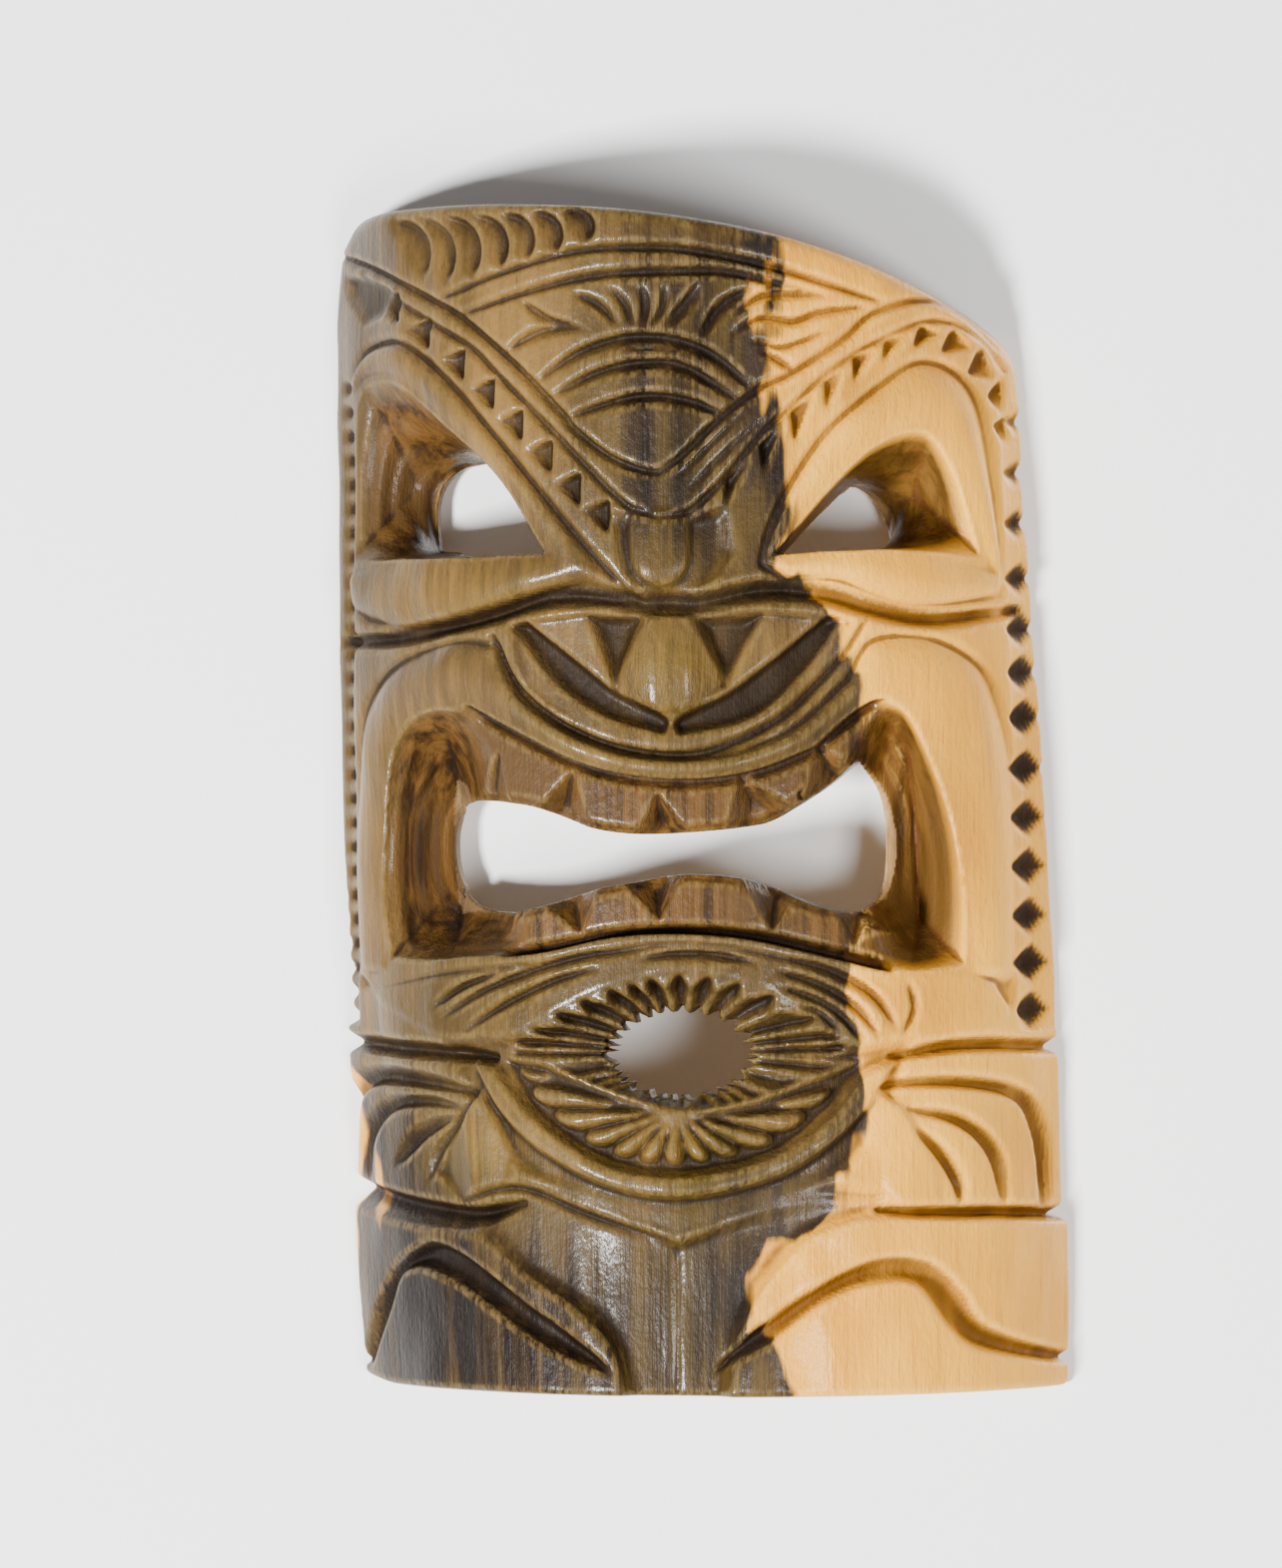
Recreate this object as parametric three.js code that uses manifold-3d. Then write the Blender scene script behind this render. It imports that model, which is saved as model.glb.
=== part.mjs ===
// Carved wall mask: a half-log block of hardwood, hollow behind, with a D-ring hanger let into its back.
// Millimetres, +Z up. The face looks along -Y, and the back lies on the wall plane at y = +DEPTH / 2.
// The origin is on the sawn bottom, under the middle of the block.
import * as THREE from 'three';
import { mergeVertices } from 'three/addons/utils/BufferGeometryUtils.js';
import Module from 'manifold-3d';

const wasm = await Module();
wasm.setup();

// ---------------------------------------------------------------- block
const HEIGHT = 300;
const DEPTH = 62;
const HALF_WIDTH = 93.6;
const WALL_Y = DEPTH / 2;
const LEAN_AT_FOOT = 4.7;
const LEAN_PER_MM = -0.0408;
const GIRTH_LOSS = 0.045;
const GIRTH_CENTRE_Z = 115;
const GIRTH_SPAN = 150;
const LOG_SEGMENTS = 8;
const LOG_STEPS = 2;
const SHOULDER_IN = 6;
const SHOULDER_BACK = 14;
const BEYOND = 20;

// ---------------------------------------------------------------- hollow behind the face
const HOLLOW_HALF_WIDTH = 59;
const HOLLOW_DEPTH = 43;
const HOLLOW_FOOT_Z = 30;
const HOLLOW_TOP_Z = 240;
const HOLLOW_END_TAPER = 0.15;

// ---------------------------------------------------------------- carving depths, measured in from the log's skin
const STRIP_DEPTH = 2.6;
const GOUGE_DEPTH = 4;
const LINE_DEPTH = 2.2;
const CHIP_DEPTH = 2.6;
const TEETH_DEPTH = 8;
const TOOTH_GAP_DEPTH = 12;
const LENS_DEPTH = 6;
const BELLY_DEPTH = 4.5;
const WING_DEPTH = 4.5;
const GOUGE_SEGMENTS = 6;

// ---------------------------------------------------------------- hanger
const POCKET_WIDTH = 30;
const POCKET_FOOT_Z = 246;
const POCKET_TOP_Z = 289;
const POCKET_DEPTH = 7;
const FIT_GAP = 0.3;
const STRAP_WIDTH = 11;
const STRAP_GAUGE = 1;
const STRAP_FOOT_Z = 249;
const EYE_Z = 268;
const EYE_INNER_RADIUS = 1.65;
const RING_WIDTH = 20;
const RING_HEIGHT = 19;
const RING_WIRE = 2.4;
const RING_LEAN = THREE.MathUtils.degToRad(4);
const SCREW_ZS = { lower: 252.5, upper: 260.5 };
const SCREW_SHANK_RADIUS = 1.3;
const SCREW_LENGTH = 14;
const SCREW_HEAD_RADIUS = 2.7;
const SCREW_HEAD_HEIGHT = 1.7;
const SLOT_WIDTH = 0.7;
const SLOT_DEPTH = 0.7;

// ---------------------------------------------------------------- solids from three.js geometry, joined and cut
function toSolid(geometry) {
  const bare = geometry.index ? geometry.clone() : geometry;
  bare.deleteAttribute('normal');
  bare.deleteAttribute('uv');
  const merged = mergeVertices(bare, 1e-4);
  return new wasm.Manifold(new wasm.Mesh({
    numProp: 3,
    vertProperties: new Float32Array(merged.attributes.position.array),
    triVerts: new Uint32Array(merged.index.array),
  }));
}

function toGeometry(solid) {
  const mesh = solid.getMesh();
  const geometry = new THREE.BufferGeometry();
  geometry.setAttribute('position', new THREE.BufferAttribute(mesh.vertProperties, mesh.numProp));
  geometry.setIndex(new THREE.BufferAttribute(mesh.triVerts, 1));
  geometry.computeVertexNormals();
  return geometry;
}

// Moves every point of a geometry by a function of its place.
function warp(geometry, move) {
  const place = geometry.attributes.position;
  const point = new THREE.Vector3();
  for (let i = 0; i < place.count; i += 1) {
    point.fromBufferAttribute(place, i);
    move(point);
    place.setXYZ(i, point.x, point.y, point.z);
  }
  return geometry;
}

const union = (solids) => solids.reduce((sum, solid) => sum.add(solid));

// An outline drawn on the front view (x, z). Each run is one point for a straight edge, or several for a curve.
function outline(start, ...runs) {
  const shape = new THREE.Shape();
  shape.moveTo(...start);
  for (const run of runs) {
    if (run.length === 1) {
      shape.lineTo(...run[0]);
    } else {
      shape.splineThru(run.map((point) => new THREE.Vector2(...point)));
    }
  }
  return shape;
}

// A front-view outline pushed through the whole block, from in front of the crest to behind the wall plane.
function throughCut(shape, curveSegments = 3) {
  const geometry = new THREE.ExtrudeGeometry(shape, {
    depth: DEPTH + 2 * BEYOND, bevelEnabled: false, curveSegments,
  });
  geometry.rotateX(Math.PI / 2);
  geometry.translate(0, WALL_Y + BEYOND, 0);
  return toSolid(geometry);
}

// A gouge stroke along a curve: widest in the middle, running out to a point at both ends.
function gouge(points, width) {
  const spine = new THREE.SplineCurve(points.map((point) => new THREE.Vector2(...point)));
  const near = [];
  const far = [];
  for (let i = 0; i <= GOUGE_SEGMENTS; i += 1) {
    const t = i / GOUGE_SEGMENTS;
    const centre = spine.getPoint(t);
    const along = spine.getTangent(t);
    const half = (width / 2) * Math.sin(Math.PI * (0.04 + 0.92 * t)) ** 0.6;
    near.push(new THREE.Vector2(centre.x - along.y * half, centre.y + along.x * half));
    far.unshift(new THREE.Vector2(centre.x + along.y * half, centre.y - along.x * half));
  }
  return new THREE.Shape([...near, ...far]);
}

// ---------------------------------------------------------------- the log
const lean = (z) => LEAN_AT_FOOT + LEAN_PER_MM * z;
const girth = (z) => 1 - GIRTH_LOSS * ((z - GIRTH_CENTRE_Z) / GIRTH_SPAN) ** 2;

// The half-log, leaning and tapering as the tree did, with its skin moved in by inset.
function log(inset) {
  const radius = (HALF_WIDTH ** 2 + DEPTH ** 2) / (2 * DEPTH);
  const centreY = WALL_Y - DEPTH + radius;
  const skin = radius - inset;
  const cutBack = inset > 0 ? WALL_Y + BEYOND : WALL_Y;
  const spread = Math.acos((centreY - WALL_Y) / radius);
  const section = new THREE.Shape();
  section.absarc(0, centreY, skin, -Math.PI / 2 - spread, -Math.PI / 2 + spread, false);
  if (inset > 0) {
    section.lineTo(skin * Math.sin(spread), cutBack);
    section.lineTo(-skin * Math.sin(spread), cutBack);
  }
  const overrun = inset > 0 ? BEYOND : 0;
  const geometry = new THREE.ExtrudeGeometry(section, {
    depth: HEIGHT + 2 * overrun, steps: LOG_STEPS, bevelEnabled: false, curveSegments: LOG_SEGMENTS,
  });
  geometry.translate(0, 0, -overrun);
  warp(geometry, (point) => {
    point.x = point.x * girth(point.z) + lean(point.z);
  });
  return toSolid(geometry);
}

// Everything under the slanting, rounded top edge.
function topProfile() {
  const shape = outline(
    [-120, -BEYOND], [[120, -BEYOND]], [[120, 200]], [[85.5, 248]],
    [[82.5, 261], [70, 272.5], [50, 283.5], [24, 292], [-8, 297.5], [-40, 299.7], [-64, HEIGHT], [-84, 298.5],
      [-92.5, 291]],
    [[-97, 270]], [[-120, 250]],
  );
  const geometry = new THREE.ExtrudeGeometry(shape, {
    depth: DEPTH, curveSegments: 16, bevelEnabled: true, bevelThickness: SHOULDER_BACK,
    bevelSize: SHOULDER_IN, bevelOffset: -SHOULDER_IN, bevelSegments: 3,
  });
  geometry.rotateX(Math.PI / 2);
  geometry.translate(0, WALL_Y + SHOULDER_BACK / 2, 0);
  return toSolid(geometry);
}

// The scoop behind the face: a half-ellipse section, drawn in a little towards its two ends.
function hollow() {
  const section = new THREE.Shape();
  section.absellipse(0, 0, HOLLOW_HALF_WIDTH, HOLLOW_DEPTH, Math.PI, 2 * Math.PI, false, 0);
  section.lineTo(HOLLOW_HALF_WIDTH, BEYOND);
  section.lineTo(-HOLLOW_HALF_WIDTH, BEYOND);
  const length = HOLLOW_TOP_Z - HOLLOW_FOOT_Z;
  const geometry = new THREE.ExtrudeGeometry(section, {
    depth: length, steps: 6, bevelEnabled: false, curveSegments: 8,
  });
  warp(geometry, (point) => {
    const along = (2 * point.z) / length - 1;
    const draw = 1 - HOLLOW_END_TAPER * along ** 6;
    point.x = point.x * draw + lean(point.z + HOLLOW_FOOT_Z);
    point.y = (point.y < 0 ? point.y * draw : point.y) + WALL_Y;
    point.z += HOLLOW_FOOT_Z;
  });
  return toSolid(geometry);
}

// ---------------------------------------------------------------- openings in the face
const EYES = [
  {
    side: -1,
    socket: outline([-32, 212], [[-44, 231], [-57, 243.5], [-72, 256], [-80, 257], [-87.5, 250]], [[-88, 207]],
      [[-70, 211]]),
    hole: outline([-31, 212], [[-40, 226], [-47, 234], [-56, 236.5], [-62, 230], [-63.5, 218]], [[-60, 212.5]]),
    floor: { x: -63, d: 4, slope: 0.28 },
  },
  {
    side: 1,
    socket: outline([26, 212], [[40, 229], [49, 238.5], [58, 244], [66, 242], [71, 234], [76, 221], [80, 207]],
      [[52, 213]]),
    hole: outline([26, 212], [[36, 225], [42, 231], [48, 229.5], [50.5, 222], [50, 213]]),
    floor: { x: 50, d: 5, slope: 0.22 },
  },
];

const MOUTH = outline(
  [-76, 107], [[-79, 138], [-76, 160], [-68, 172], [-53, 174]],
  [[-39, 167], [-23, 159], [-8, 155.5], [8, 155], [23, 158], [40, 167]],
  [[52, 175.5], [60, 171], [66, 160], [71, 142], [74, 106]],
  [[40, 110], [2, 116.5], [-34, 111.5]],
);
const MOUTH_SLIT = outline(
  [-57, 134], [[-54, 145], [-49, 149], [-41, 149.5]],
  [[-20, 143], [0, 141.5], [16, 144], [29, 151]],
  [[42, 160], [47.5, 152], [49.5, 139], [48, 127], [42, 121.5]],
  [[29, 127], [2, 130.5], [-20, 129]],
  [[-41, 121.5], [-50, 122], [-55, 127]],
);
// The two ends of the mouth narrow like funnels, from the rim down to the ends of the slit.
const MOUTH_FUNNELS = [
  {
    rim: outline([-76, 107], [[-79, 138], [-76, 160], [-68, 172], [-53, 174]], [[-42, 150]], [[-42, 120]]),
    throat: { x: -50, z: 136, widthShare: 0.3, heightShare: 0.42 },
  },
  {
    rim: outline([40, 122], [[40, 152]], [[52, 175.5], [60, 171], [66, 160], [71, 142], [74, 106]]),
    throat: { x: 43, z: 140, widthShare: 0.25, heightShare: 0.5 },
  },
];
const FUNNEL_MOUTH_D = 27;
const FUNNEL_THROAT_D = 9;

const LENS = outline([-44, 88], [[-22, 100], [1, 106], [24, 101], [47, 86]], [[26, 74], [1, 69], [-22, 74]]);
const LENS_HOLE = outline([-17, 86], [[-9, 95], [1, 97.5], [12, 95], [18, 86]], [[12, 77.5], [1, 75], [-9, 77.5]]);

// A solid that fills everything behind a sloping floor, which rises outwards from height d at x.
function slopingFloor({ side, x, d, slope }) {
  const reach = 120;
  const inner = x - side * BEYOND;
  const heightAt = (where) => d + slope * side * (where - x);
  const section = new THREE.Shape();
  section.moveTo(inner, WALL_Y + BEYOND);
  section.lineTo(inner, WALL_Y - heightAt(inner));
  section.lineTo(side * reach, WALL_Y - heightAt(side * reach));
  section.lineTo(side * reach, WALL_Y + BEYOND);
  const geometry = new THREE.ExtrudeGeometry(section, { depth: HEIGHT, bevelEnabled: false });
  return toSolid(geometry);
}

function eyeOpening({ socket, hole, ...eye }) {
  const floor = slopingFloor({ side: eye.side, ...eye.floor });
  return throughCut(socket).subtract(floor).add(throughCut(hole));
}

// A funnel: straight from the front down to one depth, then drawn in towards its throat.
function funnel({ rim, throat }) {
  const straight = new THREE.ExtrudeGeometry(rim, {
    depth: DEPTH + BEYOND - FUNNEL_MOUTH_D, bevelEnabled: false, curveSegments: 3,
  });
  straight.rotateX(Math.PI / 2);
  straight.translate(0, WALL_Y - FUNNEL_MOUTH_D, 0);
  const narrowing = new THREE.ExtrudeGeometry(rim, {
    depth: FUNNEL_MOUTH_D - FUNNEL_THROAT_D, bevelEnabled: false, curveSegments: 3,
  });
  narrowing.rotateX(Math.PI / 2);
  narrowing.translate(0, WALL_Y - FUNNEL_THROAT_D, 0);
  const middleY = WALL_Y - (FUNNEL_MOUTH_D + FUNNEL_THROAT_D) / 2;
  warp(narrowing, (point) => {
    if (point.y > middleY) {
      point.x = throat.x + (point.x - throat.x) * throat.widthShare;
      point.z = throat.z + (point.z - throat.z) * throat.heightShare;
    }
  });
  return toSolid(straight).add(toSolid(narrowing));
}

function mouthOpening() {
  const teethBed = throughCut(MOUTH).subtract(log(TEETH_DEPTH));
  return union([teethBed, ...MOUTH_FUNNELS.map(funnel), throughCut(MOUTH_SLIT)]);
}

// ---------------------------------------------------------------- relief carving, grouped by depth
const STRIPS = [
  outline([-100, 104], [[-100, 268]], [[-89, 262]], [[-87, 230]], [[-87.5, 150]], [[-85, 104]]),
  outline([100, 92], [[100, 250]], [[79.5, 246]], [[82, 200]], [[84, 150]], [[84.5, 92]]),
];

const GOUGES = [
  gouge([[-91, 190], [-60, 199], [-25, 202], [0, 203], [30, 202], [60, 198], [90, 194]], 7),
  gouge([[-100, 89], [-88, 89], [-74, 90]], 5),
  gouge([[100, 88], [80, 89], [48, 87]], 5),
  gouge([[-100, 53], [-80, 47], [-58, 45], [-36, 50], [-22, 47]], 5),
  gouge([[100, 46], [80, 47], [50, 47], [30, 50]], 4),
  gouge([[-45, 191], [-38, 178], [-23, 167], [-5, 163], [8, 162.5], [28, 169], [42, 180.5], [49, 193]], 5),
  gouge([[-38, 195], [-30, 182], [-18, 172], [1, 168.5], [20, 173], [34, 184], [43, 195]], 4),
  gouge([[-85, 56], [-84, 72], [-77, 80], [-64, 82], [-44, 78]], 4.5),
  gouge([[50, 80], [66, 84], [79, 82], [85.5, 70], [86.5, 51]], 4),
  gouge([[56, 73], [66, 74], [74, 66], [77, 50]], 3.5),
  gouge([[56, 69], [63, 64], [67, 56], [67, 49]], 3),
  gouge([[-85, 8], [-80, 26], [-73, 37]], 5),
  gouge([[-76, 36], [-60, 35], [-44, 28], [-28, 18], [-15, 6]], 6),
  gouge([[12, 6], [22, 21], [38, 32], [54, 33], [66, 26], [79, 13], [94, 9]], 5),
];

const LINES = [
  gouge([[-84, 281], [-58, 266], [-28, 241], [-4, 222], [22, 241], [46, 259], [66, 271]], 4),
  gouge([[-86, 290], [-62, 279], [-30, 288], [-4, 291], [30, 284], [52, 276]], 3),
  gouge([[-36, 259], [-20, 266], [-3, 268], [12, 263], [25, 251]], 3),
  gouge([[-30, 250], [-15, 256], [-2, 257], [12, 253], [21, 246]], 3),
];

// Triangular chips in a row along a line, their points turned up.
function chipRow(from, to, count, size) {
  const row = [];
  for (let i = 0; i < count; i += 1) {
    const t = i / (count - 1);
    const x = THREE.MathUtils.lerp(from[0], to[0], t);
    const z = THREE.MathUtils.lerp(from[1], to[1], t);
    row.push(outline([x, z + size], [[x - size / 2, z - size / 3]], [[x + size / 2, z - size / 3]]));
  }
  return row;
}

const CHIPS = [
  ...chipRow([-76, 270], [-20, 222], 8, 6),
  ...chipRow([14, 224], [58, 262], 7, 6),
];

// The dark triangular gaps between the teeth, above and below the slit.
const TOOTH_GAPS = [
  ...[[-33, 143], [-8, 141], [14, 144], [34, 152]].map(([x, z]) => outline(
    [x, z + 14], [[x - 6, z - 3]], [[x + 6, z - 3]],
  )),
  ...[[-29, 128], [-9, 130], [19, 130], [39, 124]].map(([x, z]) => outline(
    [x, z - 11], [[x + 6, z + 3]], [[x - 6, z + 3]],
  )),
];

const WINGS = [
  outline([-36, 197], [[-15, 197]], [[-15, 180]], [[-22, 178]]),
  outline([38, 197], [[16, 197]], [[17, 180]], [[24, 178]]),
];

const BELLY = outline(
  [-56, 41], [[-28, 48], [1, 50], [34, 46]], [[28, 36], [18, 20], [13, -BEYOND]], [[-13, -BEYOND]],
  [[-20, 8], [-34, 24]],
);

// Removes the outlines down to one depth below the log's skin.
function relief(shapes, depth) {
  return union(shapes.map((shape) => throughCut(shape))).subtract(log(depth));
}

// ---------------------------------------------------------------- hanger pocket and screw holes
function boxBetween(low, high) {
  const size = high.map((value, axis) => value - low[axis]);
  const geometry = new THREE.BoxGeometry(...size);
  geometry.translate(...low.map((value, axis) => value + size[axis] / 2));
  return toSolid(geometry);
}

// A round bar along Y, from its back end to its front end.
function barAlongY(radius, backY, frontY, z) {
  const geometry = new THREE.CylinderGeometry(radius, radius, backY - frontY, 16);
  geometry.translate(0, (backY + frontY) / 2, z);
  return toSolid(geometry);
}

const POCKET_Y = WALL_Y - POCKET_DEPTH;
const STRAP_BACK_Y = POCKET_Y + FIT_GAP;
const STRAP_TOP_Y = STRAP_BACK_Y + STRAP_GAUGE;
const EYE_Y = STRAP_TOP_Y + EYE_INNER_RADIUS;
const HEAD_Y = STRAP_TOP_Y + FIT_GAP;

function hangerPocket() {
  const floorCut = boxBetween(
    [-POCKET_WIDTH / 2, POCKET_Y, POCKET_FOOT_Z],
    [POCKET_WIDTH / 2, WALL_Y + BEYOND, POCKET_TOP_Z],
  );
  const pilots = Object.values(SCREW_ZS).map((z) => barAlongY(
    SCREW_SHANK_RADIUS + FIT_GAP, WALL_Y, HEAD_Y - SCREW_LENGTH - FIT_GAP, z,
  ));
  return union([floorCut, ...pilots]);
}

function maskBody() {
  const cuts = [
    hollow(),
    hangerPocket(),
    ...EYES.map(eyeOpening),
    mouthOpening(),
    throughCut(LENS).subtract(log(LENS_DEPTH)),
    throughCut(LENS_HOLE),
    relief(STRIPS, STRIP_DEPTH),
    relief(GOUGES, GOUGE_DEPTH),
    relief(LINES, LINE_DEPTH),
    relief(CHIPS, CHIP_DEPTH),
    relief(WINGS, WING_DEPTH),
    relief(TOOTH_GAPS, TOOTH_GAP_DEPTH),
    relief([BELLY], BELLY_DEPTH),
  ];
  return toGeometry(log(0).intersect(topProfile()).subtract(union(cuts)));
}

// ---------------------------------------------------------------- hanger pieces
// Strap: a flat tail with two screw holes, its top end rolled into an eye round the ring's straight bar.
function hangerStrap() {
  const outer = EYE_INNER_RADIUS + STRAP_GAUGE;
  const rollEnd = Math.PI * 1.32;
  const section = new THREE.Shape();
  section.moveTo(STRAP_BACK_Y, STRAP_FOOT_Z);
  section.lineTo(STRAP_BACK_Y, EYE_Z);
  section.absarc(EYE_Y, EYE_Z, outer, Math.PI, Math.PI - rollEnd, true);
  section.absarc(EYE_Y, EYE_Z, EYE_INNER_RADIUS, Math.PI - rollEnd, Math.PI, false);
  section.lineTo(STRAP_TOP_Y, STRAP_FOOT_Z);
  const geometry = new THREE.ExtrudeGeometry(section, {
    depth: STRAP_WIDTH, bevelEnabled: false, curveSegments: 20,
  });
  warp(geometry, (point) => point.set(point.z - STRAP_WIDTH / 2, point.x, point.y));
  const holes = Object.values(SCREW_ZS).map((z) => barAlongY(
    SCREW_SHANK_RADIUS + FIT_GAP, STRAP_TOP_Y + 1, STRAP_BACK_Y - 1, z,
  ));
  return toGeometry(toSolid(geometry).subtract(union(holes)));
}

// D-ring: straight bar in the strap's eye, round bow above it. Drawn with the bar's middle at the origin.
function hangerRing() {
  const half = RING_WIDTH / 2;
  const wire = RING_WIRE / 2;
  const round = RING_WIRE / 4;
  const drawD = (shape, grow) => {
    const side = half - wire + grow;
    const foot = -grow;
    const bow = RING_HEIGHT - half;
    const corner = 1.6 + grow;
    shape.moveTo(side, foot + corner);
    shape.lineTo(side, bow - wire);
    shape.absarc(0, bow - wire, side, 0, Math.PI, false);
    shape.lineTo(-side, foot + corner);
    shape.absarc(-side + corner, foot + corner, corner, Math.PI, 1.5 * Math.PI, false);
    shape.absarc(side - corner, foot + corner, corner, 1.5 * Math.PI, 2 * Math.PI, false);
    return shape;
  };
  const shape = drawD(new THREE.Shape(), wire - round);
  shape.holes.push(drawD(new THREE.Path(), round - wire));
  const geometry = new THREE.ExtrudeGeometry(shape, {
    depth: RING_WIRE - 2 * round, bevelEnabled: true, bevelThickness: round, bevelSize: round,
    bevelSegments: 1, curveSegments: 7,
  });
  geometry.translate(0, 0, -(RING_WIRE - 2 * round) / 2);
  geometry.rotateX(Math.PI / 2);
  return geometry;
}

// Round-head wood screw, pointing along -Y into the wood, drawn with the underside of its head at the origin.
function hangerScrew() {
  const head = SCREW_HEAD_HEIGHT;
  const tip = 3;
  const profile = [
    [0, -SCREW_LENGTH], [SCREW_SHANK_RADIUS, -SCREW_LENGTH + tip], [SCREW_SHANK_RADIUS, 0],
    [SCREW_HEAD_RADIUS, 0], [SCREW_HEAD_RADIUS, head * 0.35], [SCREW_HEAD_RADIUS * 0.8, head * 0.8],
    [SCREW_HEAD_RADIUS * 0.4, head], [0, head],
  ].map((point) => new THREE.Vector2(...point));
  const slot = new THREE.BoxGeometry(SCREW_HEAD_RADIUS * 3, SLOT_DEPTH * 2, SLOT_WIDTH);
  slot.translate(0, head, 0);
  return toGeometry(toSolid(new THREE.LatheGeometry(profile, 20)).subtract(toSolid(slot)));
}

// ---------------------------------------------------------------- assembly
const group = new THREE.Group();

function addMesh(name, geometry, look) {
  const mesh = new THREE.Mesh(geometry, new THREE.MeshStandardMaterial(look));
  mesh.name = name;
  group.add(mesh);
  return mesh;
}

const wood = { color: 0xa07f4c, roughness: 0.35, metalness: 0 };
const steel = { color: 0xb9a070, roughness: 0.35, metalness: 1 };
const screwSteel = { color: 0xa8a8a4, roughness: 0.3, metalness: 1 };

addMesh('mask_body', maskBody(), wood);
addMesh('hanger_strap', hangerStrap(), steel);

const ring = addMesh('hanger_ring', hangerRing(), steel);
ring.position.set(0, EYE_Y, EYE_Z);
ring.rotation.x = RING_LEAN;

for (const [place, z] of Object.entries(SCREW_ZS)) {
  const screw = addMesh(`hanger_screw_${place}`, hangerScrew(), screwSteel);
  screw.position.set(0, HEAD_Y, z);
}

export default group;
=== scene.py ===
"""Carved two-tone hardwood wall mask: the face, its hollow back and its D-ring hanger."""
import math

import bpy
import numpy as np
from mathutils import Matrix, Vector


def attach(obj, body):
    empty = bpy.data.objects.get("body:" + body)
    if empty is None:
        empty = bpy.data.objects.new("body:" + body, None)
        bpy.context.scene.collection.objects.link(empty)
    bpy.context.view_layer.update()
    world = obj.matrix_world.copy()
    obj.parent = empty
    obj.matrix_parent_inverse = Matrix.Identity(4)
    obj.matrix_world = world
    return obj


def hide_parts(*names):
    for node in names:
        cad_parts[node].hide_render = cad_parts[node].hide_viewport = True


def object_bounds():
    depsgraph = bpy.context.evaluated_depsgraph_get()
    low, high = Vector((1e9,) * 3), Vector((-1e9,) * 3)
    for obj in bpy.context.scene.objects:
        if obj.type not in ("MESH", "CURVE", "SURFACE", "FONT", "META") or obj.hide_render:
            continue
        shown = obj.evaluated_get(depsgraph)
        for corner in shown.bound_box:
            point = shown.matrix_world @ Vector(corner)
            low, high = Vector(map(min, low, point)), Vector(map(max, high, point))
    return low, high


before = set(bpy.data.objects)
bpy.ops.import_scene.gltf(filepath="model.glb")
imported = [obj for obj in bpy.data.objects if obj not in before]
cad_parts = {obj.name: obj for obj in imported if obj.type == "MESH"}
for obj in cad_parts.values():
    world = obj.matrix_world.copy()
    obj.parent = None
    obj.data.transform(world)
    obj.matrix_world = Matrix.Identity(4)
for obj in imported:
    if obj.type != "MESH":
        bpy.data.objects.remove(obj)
cad_low, cad_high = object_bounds()

MM = 0.001

# ------------------------------------------------ the block, in millimetres
HEIGHT = cad_high.z / MM
WALL_Y = cad_high.y / MM
DEPTH = (cad_high.y - cad_low.y) / MM
HALF_WIDTH = 93.6
LEAN_AT_FOOT = 4.7
LEAN_PER_MM = -0.0408
GIRTH_LOSS = 0.045
GIRTH_CENTRE_Z = 115.0
GIRTH_SPAN = 150.0
LOG_RADIUS = (HALF_WIDTH ** 2 + DEPTH ** 2) / (2 * DEPTH)
LOG_CENTRE_Y = WALL_Y - DEPTH + LOG_RADIUS

HOLLOW_HALF_WIDTH = 59.0
HOLLOW_DEPTH = 43.0
HOLLOW_FOOT_Z = 30.0
HOLLOW_TOP_Z = 240.0
POCKET_HALF_WIDTH = 15.0
POCKET_FOOT_Z = 246.0
POCKET_TOP_Z = 289.0
POCKET_DEPTH = 7.0
SCREW_ZS = (252.5, 260.5)
SCREW_BORE = 1.6
SCREW_BORE_END = 20.0

STEP = 0.65
MARGIN = 2.0
SEED = 11
RECESS_ROUNDS = 90
CREASE_ROUNDS = 8
POINTS_PER_SPAN = 6


def lean(z):
    return LEAN_AT_FOOT + LEAN_PER_MM * z


def girth(z):
    return 1 - GIRTH_LOSS * ((z - GIRTH_CENTRE_Z) / GIRTH_SPAN) ** 2


def skin_height(x, z):
    """How far the uncarved log stands out from the wall plane."""
    across = (x - lean(z)) / girth(z)
    return np.sqrt(np.maximum(LOG_RADIUS ** 2 - across ** 2, 0)) - (LOG_RADIUS - DEPTH)


# ------------------------------------------------ outlines and strokes on the front view (x, z)
def curve(points):
    """A smooth line through the points."""
    points = np.array(points, float)
    if len(points) < 3:
        return points
    ends = np.vstack([2 * points[0] - points[1], points, 2 * points[-1] - points[-2]])
    t = np.linspace(0, 1, POINTS_PER_SPAN, endpoint=False)[:, None]
    parts = []
    for a, b, c, d in zip(ends[:-3], ends[1:-2], ends[2:-1], ends[3:]):
        parts.append(0.5 * (2 * b + (c - a) * t + (2 * a - 5 * b + 4 * c - d) * t ** 2
                            + (3 * b - a - 3 * c + d) * t ** 3))
    return np.vstack([*parts, points[-1:]])


def outline(start, *runs):
    """A closed outline. A run of one point is a straight edge, and a longer one a smooth curve."""
    path = [start]
    for run in runs:
        path.extend(map(tuple, curve([path[-1], *run])[1:]))
    return np.array(path, float)


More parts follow.
